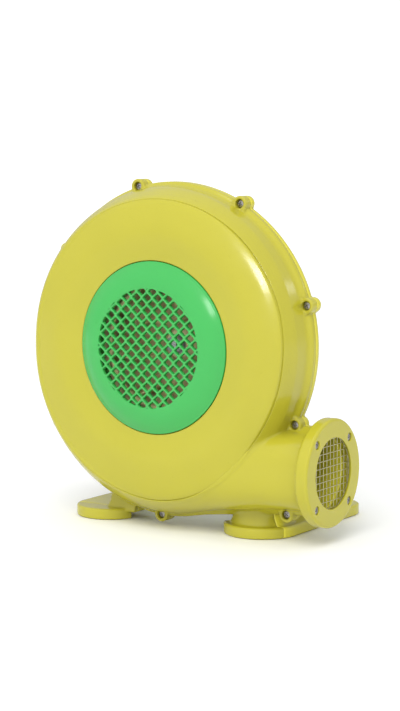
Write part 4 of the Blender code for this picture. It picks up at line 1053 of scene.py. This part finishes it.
def place_screw(name, node, at, toward, turn):
    """Screw with its head at a point, facing toward and turned about its own axis."""
    facing = Vector(toward).normalized()
    across = facing.cross(Vector((0, 0, 1))).normalized()
    other = facing.cross(across)
    frame_of_screw = Matrix((across, other, facing)).transposed().to_4x4()
    matrix = frame_of_screw @ Matrix.Rotation(turn, 4, "Z")
    add(name, SCREW, "screw_steel", node, matrix=Matrix.Translation(Vector(at) + SHIFT) @ matrix)


for i, place in enumerate(screw_places("casing_screw", 8)):
    place_screw("seam_screw_%d" % (i + 1), "casing_screw_%d" % (i + 1),
                at=(place.x, place.y_low + 0.0001, place.z), toward=(0, -1, 0),
                turn=0.4 + 0.9 * i)
for i, place in enumerate(screw_places("outlet_screw", 4)):
    place_screw("flange_screw_%d" % (i + 1), "outlet_screw_%d" % (i + 1),
                at=(place.x_high - 0.0004, (place.y_low + place.y_high) / 2, place.z),
                toward=(1, 0, 0), turn=0.2 + 0.7 * i)
for i, place in enumerate(screw_places("cover_screw", 4)):
    place_screw("shroud_screw_%d" % (i + 1), "cover_screw_%d" % (i + 1),
                at=(place.x, place.y_high, place.z), toward=(0, 1, 0), turn=0.3 + 0.8 * i)

# ------------------------------------------------------------------ cord
CORD_R = 0.0035
# Hank of cord behind the feet: end radius, half length of its straights, centre height,
# first layer's y and the advance in y per lap
HANK_R, HANK_L, HANK_Z, HANK_Y, HANK_PITCH = 0.0200, 0.0220, 0.0680, 0.1040, 0.0080
HANK_LAPS = 3
PLUG_Y = 0.1490


def fine_path(points, per=6):
    """Catmull-Rom through the points, per steps to a span."""
    knots = [Vector(points[0])] + [Vector(p) for p in points] + [Vector(points[-1])]
    path = []
    for i in range(1, len(knots) - 2):
        a, b, c, d = knots[i - 1:i + 3]
        for k in range(per):
            t = k / per
            path.append(0.5 * ((2 * b) + (c - a) * t + (2 * a - 5 * b + 4 * c - d) * t * t
                               + (3 * b - a - 3 * c + d) * t ** 3))
    path.append(knots[-2])
    return path


def hank_run(arc, side, lap):
    """Points of the laps: x, z and the length run so far."""
    run = []
    for turn in range(HANK_LAPS):
        base = turn * lap
        for k in range(1, 7):
            a = -math.pi * k / 6
            run.append((HANK_R * math.cos(a), HANK_Z - HANK_L + HANK_R * math.sin(a),
                        base + arc * k / 6))
        run.append((-HANK_R, HANK_Z, base + arc + side / 2))
        run.append((-HANK_R, HANK_Z + HANK_L, base + arc + side))
        for k in range(1, 7):
            a = math.pi - math.pi * k / 6
            run.append((HANK_R * math.cos(a), HANK_Z + HANK_L + HANK_R * math.sin(a),
                        base + arc + side + arc * k / 6))
        if turn < HANK_LAPS - 1:
            run.append((HANK_R, HANK_Z - HANK_L, base + lap))
    return run


def cord_path():
    """Down from the motor cover, round the hank, then back in y to the plug."""
    top = AXIS_Z - MOTOR_R - 0.0225
    points = [(0, CORD_Y, top + 0.0300), (0, CORD_Y, top + 0.012), (0, CORD_Y, top)]
    handles = ((0, CORD_Y, top), (0, CORD_Y, top - 0.030),
               (HANK_R, HANK_Y, HANK_Z + 0.006), (HANK_R, HANK_Y, HANK_Z - HANK_L))
    for k in range(1, 9):
        t = k / 8
        weights = ((1 - t) ** 3, 3 * t * (1 - t) ** 2, 3 * t * t * (1 - t), t ** 3)
        points.append(tuple(sum(w * p[i] for w, p in zip(weights, handles)) for i in range(3)))
    arc, side = math.pi * HANK_R, 2 * HANK_L
    lap = 2 * (arc + side)
    swing = 2 * lap + arc + side / 2   # length run where the cord leaves for the plug
    for x, z, length in hank_run(arc, side, lap):
        y = HANK_Y + HANK_PITCH * length / lap
        if length > swing:
            t = min(1.0, (length - swing) / (arc + side / 2))
            y += (PLUG_Y - y) * t * t * (3 - 2 * t)
        points.append((x, y, z))
    points.append((HANK_R, PLUG_Y, HANK_Z + HANK_L - 0.006))
    return points


lead = sweep([p + SHIFT for p in fine_path(cord_path())], CORD_R, sides=18)
add("power_lead", list_mesh("power_lead", *lead, sharp=60), "cord_rubber", "power_cord")


def turned(name, profile, centre, sides=64):
    """Turns a closed profile of (radius, height) about Z, its corners cut to a small round."""
    outline = []
    count = len(profile)
    for i in range(count):
        a, b, c = [Vector(profile[k % count]) for k in (i - 1, i, i + 1)]
        cut_back = min(0.0005, (a - b).length * 0.3, (c - b).length * 0.3)
        p, q = b + (a - b).normalized() * cut_back, b + (c - b).normalized() * cut_back
        for k in range(4):
            t = k / 3
            outline.append(p * (1 - t) ** 2 + b * 2 * t * (1 - t) + q * t * t)
    verts, faces = [], []
    for p in outline:
        for i in range(sides):
            a = 2 * math.pi * i / sides
            verts.append(Vector(centre) + Vector((p.x * math.cos(a), p.x * math.sin(a), p.y))
                         + SHIFT)
    for ring in range(len(outline)):
        row, after = ring * sides, (ring + 1) % len(outline) * sides
        for i in range(sides):
            j = (i + 1) % sides
            faces.append((row + i, row + j, after + j, after + i))
    return list_mesh(name, verts, faces, sharp=35)


def strain_relief():
    """Ribbed sleeve with a flange under the boss and a neck that enters the motor cover."""
    flange_top, top = 0.0153, 0.0240
    inner = CORD_R + 0.0003
    profile = [(inner, 0.0), (0.0050, 0.0)]
    for k in range(4):
        z = 0.0008 + k * 0.0029
        crest, root = 0.0056 + 0.0002 * k, 0.0048 + 0.0002 * k
        profile += [(crest, z), (crest, z + 0.0016), (root, z + 0.0018), (root, z + 0.0026)]
    profile += [(0.0110, 0.0125), (0.0110, 0.0150), (0.0063, flange_top), (0.0063, top),
                (inner, top)]
    base = AXIS_Z - MOTOR_R - CORD_BOSS - flange_top
    return turned("lead_strain_relief", profile, (0, CORD_Y, base))


add("lead_strain_relief", strain_relief(), "black_plastic", "cord_grip")

tie_low, tie_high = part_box("cord_tie")


def tie_field(x, y, z):
    """Flat band round the hank."""
    centre_x = (tie_low.x + tie_high.x) / 2 - ORIGIN_X
    centre_y = (tie_low.y + tie_high.y) / 2 - ORIGIN_Y
    half_x, half_y = (tie_high.x - tie_low.x) / 2, (tie_high.y - tie_low.y) / 2
    plan = rounded(np.abs(x - centre_x) - half_x, np.abs(y - centre_y) - half_y, 0.003)
    hoop = cut(plan, plan + 0.0012, 0.0002)
    return rounded(hoop, slab(z, HANK_Z - 0.0025, HANK_Z + 0.0025), 0.0003)


field_piece("lead_tie", tie_field,
            (tie_low.x - ORIGIN_X - 0.001, tie_low.y - ORIGIN_Y - 0.001, HANK_Z - 0.004),
            (tie_high.x - ORIGIN_X + 0.001, tie_high.y - ORIGIN_Y + 0.001, HANK_Z + 0.004),
            0.00035, "black_plastic", "cord_tie")

# ------------------------------------------------------------------ plug
PLUG_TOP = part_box("power_plug")[1].z
# Depth below the plug's top, half width in x, half thickness in y
PLUG_DEPTH, PLUG_HALF_X, PLUG_HALF_Y = zip(
    (0, 0.0042, 0.0042), (0.012, 0.0050, 0.0048), (0.018, 0.0100, 0.0080),
    (0.026, 0.0130, 0.0105), (0.037, 0.0135, 0.0110), (0.039, 0.0128, 0.0104))


def plug_field(x, y, z):
    depth = PLUG_TOP - z
    half_x = np.interp(depth, PLUG_DEPTH, PLUG_HALF_X)
    half_y = np.interp(depth, PLUG_DEPTH, PLUG_HALF_Y)
    out_x = x - HANK_R
    level = (np.abs(out_x / half_x) ** 3 + np.abs((y - PLUG_Y) / half_y) ** 3) ** (1 / 3)
    body = (level - 1) * half_y * 0.8
    # grooves round the neck
    grooves = 0.0006 * ramp(np.cos(depth * 2 * math.pi / 0.0024))
    body = body + grooves * ramp((0.0118 - depth) / 0.001) * ramp(depth / 0.001)
    # finger dips on the two faces
    body = body + 0.0016 * np.exp(-(((depth - 0.029) / 0.0055) ** 2 + (out_x / 0.0075) ** 2))
    return meet(body, slab(depth, 0.0, 0.0390), 0.0014)


field_piece("lead_plug", plug_field,
            (HANK_R - 0.0145, PLUG_Y - 0.0125, PLUG_TOP - 0.0400),
            (HANK_R + 0.0145, PLUG_Y + 0.0125, PLUG_TOP + 0.001),
            0.00045, "cord_rubber", "power_plug")


def contact(node, is_round):
    """Round pin, or flat blade with a hole near its lower end."""
    low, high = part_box(node)
    centre = (low + high) / 2 - SHIFT
    half = (high - low) / 2
    margin = 0.0008

    def field(x, y, z):
        ends = np.abs(z - centre.z) - half.z
        if is_round:
            return rounded(distance(x - centre.x, y - centre.y) - half.x, ends, 0.0012)
        blade = rounded(box2(x - centre.x, half.x, y - centre.y, half.y), ends, 0.00035)
        hole = distance(y - centre.y, z - (centre.z - half.z + 0.0035)) - 0.0012
        return cut(blade, hole, 0.0003)

    field_piece("contact_" + node, field, [c - h - margin for c, h in zip(centre, half)],
                [c + h + margin for c, h in zip(centre, half)], 0.00022, "plug_brass", node)


contact("live_blade", is_round=False)
contact("neutral_blade", is_round=False)
contact("earth_pin", is_round=True)


# ------------------------------------------------------------------ switch
def switch_field(x, y, z):
    """Switch frame: a plate on the land, and a can behind it with a pocket for the rocker."""
    plate_x = SWITCH_X - 0.0003
    across, rise = y - SWITCH_Y, z - AXIS_Z
    plate = rounded(box2(across, 0.0115, rise, 0.0152), slab(x, plate_x - 0.0022, plate_x), 0.0008)
    can = np.maximum(box2(across, 0.0092, rise, 0.0127),
                     slab(x, plate_x - 0.001, plate_x + 0.0175))
    pocket = np.maximum(box2(across, 0.0074, rise, 0.0110), x - (plate_x + 0.0100))
    return cut(np.minimum(plate, can), pocket, 0.0006)


field_piece("switch_frame", switch_field,
            (SWITCH_X - 0.0035, SWITCH_Y - 0.0125, AXIS_Z - 0.0162),
            (SWITCH_X + 0.0185, SWITCH_Y + 0.0125, AXIS_Z + 0.0162),
            0.0004, "black_plastic", "switch_body")

rock_joint = next(j for j in frame["joints"] if j["name"] == "switch_rock")
ROCKER_X, ROCKER_Z = rock_joint["pos_m"][0] - ORIGIN_X, rock_joint["pos_m"][2]
ROCKER_TILT = math.radians(8)


def rocker_field(x, y, z):
    """Tilted paddle with a dished face."""
    cosine, sine = math.cos(ROCKER_TILT), math.sin(ROCKER_TILT)
    from_x, from_z = x - ROCKER_X, z - ROCKER_Z
    out, up = -(from_x * cosine - from_z * sine), from_x * sine + from_z * cosine
    across = y - SWITCH_Y
    face = 0.0058 + 0.0020 * (up / 0.0096) ** 2
    back = -0.0040 + 0.0032 * (up / 0.0090) ** 2
    body = np.maximum((out - face) * 0.93, (back - out) * 0.8)
    body = meet(body, np.abs(up) - 0.0092, 0.0010)
    body = meet(body, np.abs(across) - 0.0069, 0.0010)
    # sunk bar on the upper end and ring on the lower, the on and off marks
    bar = box2(across, 0.0003, up - 0.0058, 0.0014)
    ring = np.abs(distance(across, up + 0.0056) - 0.0014) - 0.0003
    mark = np.maximum(np.minimum(bar, ring), -(out - 0.004))
    return cut(body, np.maximum(mark, (face - 0.0004) - out), 0.0002)


field_piece("switch_paddle", rocker_field,
            (ROCKER_X - 0.0100, SWITCH_Y - 0.0080, ROCKER_Z - 0.0115),
            (ROCKER_X + 0.0062, SWITCH_Y + 0.0080, ROCKER_Z + 0.0115),
            0.00028, "rocker_red", "switch_rocker", body="rocker")

# ------------------------------------------------------------------ inner pieces keep their solids
BEVELS = (("impeller", 0.0006), ("impeller_nut", 0.0005), ("cooling_fan", 0.0004),
          ("capacitor", 0.0012), ("front_end_bell", 0.0004), ("rear_end_bell", 0.0004))
for name, width in BEVELS:
    bevel = NODES[name].modifiers.new("edge", "BEVEL")
    bevel.width = width
    bevel.segments = 2
    bevel.limit_method = "ANGLE"
    bevel.angle_limit = math.radians(35)
for ob in NODES.values():
    ob.data.shade_smooth()
    ob.data.set_sharp_from_angle(angle=math.radians(35))


# ------------------------------------------------------------------ floor and world
def add_floor():
    cells, size = 24, 9.0
    verts = [(size * (i / cells - 0.5), size * (j / cells - 0.5), -0.0002)
             for i in range(cells + 1) for j in range(cells + 1)]
    faces = []
    for i in range(cells):
        for j in range(cells):
            a = i * (cells + 1) + j
            faces.append((a, a + cells + 1, a + cells + 2, a + 1))
    mesh = list_mesh("floor", verts, faces)
    shader = Shader("floor_pale")
    cloud = shader.span(shader.noise(scale=3.0), (0.3, 0.7), (0, 1))
    shader.link(shader.mix(cloud, (0.90, 0.90, 0.90), (0.94, 0.94, 0.94)),
                shader.inputs["Base Color"])
    shader.inputs["Roughness"].default_value = 0.55
    shader.inputs["Specular IOR Level"].default_value = 0.3
    mesh.materials.append(shader.material)
    link_object("floor", mesh)


def add_world():
    """White tent, brighter above and in front; the camera sees an even white."""
    camera_level, tent_level = 1.30, 0.82
    brighter_way = (0.05, -0.30, 0.25)
    world = bpy.data.worlds.new("studio")
    bpy.context.scene.world = world
    world.use_nodes = True
    nodes, link = world.node_tree.nodes, world.node_tree.links.new
    background = nodes["Background"]
    background.inputs[0].default_value = (1.0, 1.0, 1.0, 1)
    path = nodes.new("ShaderNodeLightPath")
    level = nodes.new("ShaderNodeMapRange")
    link(path.outputs["Is Camera Ray"], level.inputs[0])
    way = nodes.new("ShaderNodeTexCoord")
    dot = nodes.new("ShaderNodeVectorMath")
    dot.operation = "DOT_PRODUCT"
    dot.inputs[1].default_value = brighter_way
    link(way.outputs["Generated"], dot.inputs[0])
    tent = nodes.new("ShaderNodeMath")
    tent.operation = "ADD"
    tent.inputs[1].default_value = tent_level
    link(dot.outputs["Value"], tent.inputs[0])
    link(tent.outputs[0], level.inputs[3])
    level.inputs[4].default_value = camera_level
    link(level.outputs[0], background.inputs[1])


add_floor()
add_world()
bpy.context.scene.view_settings.view_transform = "Standard"


# ------------------------------------------------------------------ lights
LIGHT_DISTANCE = 1.6     # of the area lights from what they light


def area(name, wide, tall, radiance):
    lamp = bpy.data.lights.new(name, "AREA")
    lamp.shape = "RECTANGLE"
    lamp.size = wide
    lamp.size_y = tall
    lamp.energy = radiance * math.pi * lamp.size * lamp.size_y
    ob = link_object(name, lamp)
    ob.visible_camera = False
    return ob


def aim(direction):
    return Vector(direction).to_track_quat("-Z", "Y").to_euler()


def only_on(light, names):
    """Limit a light to the named pieces."""
    receivers = bpy.data.collections.new(light.name + "_on")
    for ob in bpy.context.scene.objects:
        if ob.type == "MESH" and ob.name.split(".")[0] in names:
            receivers.objects.link(ob)
    light.light_linking.receiver_collection = receivers


def card(name, target, way, across, wide, tall, radiance, receivers=None):
    """Softbox that only shows in reflections; wide and tall are degrees seen from the target."""
    at = Vector(target) + Vector(way).normalized() * LIGHT_DISTANCE
    width, height = [2 * LIGHT_DISTANCE * math.tan(math.radians(a / 2)) for a in (wide, tall)]
    ob = area(name, width, height, radiance)
    back = (at - Vector(target)).normalized()
    side = Vector(across)
    side = (side - back * side.dot(back)).normalized()
    turn = Matrix((side, back.cross(side), back)).transposed().to_4x4()
    ob.matrix_world = Matrix.Translation(at) @ turn
    ob.visible_diffuse = False
    ob.visible_transmission = False
    if receivers:
        only_on(ob, receivers)


def add_sun():
    sun = bpy.data.lights.new("soft_sun", "SUN")
    sun.energy = 0.51 * math.pi
    sun.angle = math.radians(35)
    ob = link_object("soft_sun", sun)
    ob.visible_glossy = False
    ob.rotation_euler = aim((-0.242, 0.664, -0.707))


def add_grille_fill():
    """Light through the grille, so that the wheel can be made out behind it."""
    target = Vector((0.0, -0.03, 0.2025))
    at = target + Vector((0.50, -0.84, 0.22)) * LIGHT_DISTANCE
    ob = area("fill_through_grille", wide=0.5, tall=0.5, radiance=22.0)
    ob.location = at
    ob.rotation_euler = aim(target - at)
    ob.visible_glossy = False
    only_on(ob, ("impeller", "impeller_nut", "impeller_washer", "motor_shaft",
                 "front_end_bell", "rear_shell"))


add_sun()
card("softbox_face", target=(0.131, -0.113, 0.280), way=(0.26, -0.87, 0.42),
     across=(0.85, 0, 0.53), wide=30, tall=14, radiance=20.0, receivers=("front_face",))
card("softbox_cover", target=(0.0745, -0.116, 0.252), way=(0.31, -0.83, 0.46),
     across=(0.85, 0, 0.45), wide=7, tall=13, radiance=14.0, receivers=("intake_grille_cover",))
card("softbox_top", target=(0.138, -0.094, 0.112), way=(-0.12, -0.20, 0.965),
     across=(1, 0, 0), wide=12, tall=9, radiance=3.0)
card("softbox_back", target=(0.146, -0.081, 0.270), way=(0.462, 0.816, 0.345),
     across=(0, 0, 1), wide=5, tall=6, radiance=4.0, receivers=("front_shell",))
add_grille_fill()

# ------------------------------------------------------------------ camera
CAMERA_TURN, CAMERA_RISE = 0.5791452924, 0.1113241301   # radians, from -Y towards +X, and up
CAMERA_DISTANCE = 2.0433326
CAMERA_TARGET = Vector((0.0228042, 0.0, AXIS_Z - 0.0099980)) + SHIFT


def add_camera():
    back = Vector((math.sin(CAMERA_TURN) * math.cos(CAMERA_RISE),
                   -math.cos(CAMERA_TURN) * math.cos(CAMERA_RISE), math.sin(CAMERA_RISE)))
    right = Vector((math.cos(CAMERA_TURN), math.sin(CAMERA_TURN), 0))
    camera = bpy.data.cameras.new("camera")
    camera.sensor_fit = "VERTICAL"
    camera.sensor_width = 36
    camera.sensor_height = 36
    camera.lens = 95.1898734
    camera.shift_y = -0.00281293952
    ob = link_object("camera", camera)
    matrix = Matrix((right, back.cross(right), back)).transposed().to_4x4()
    matrix.translation = CAMERA_TARGET + back * CAMERA_DISTANCE
    ob.matrix_world = matrix
    bpy.context.scene.camera = ob


add_camera()
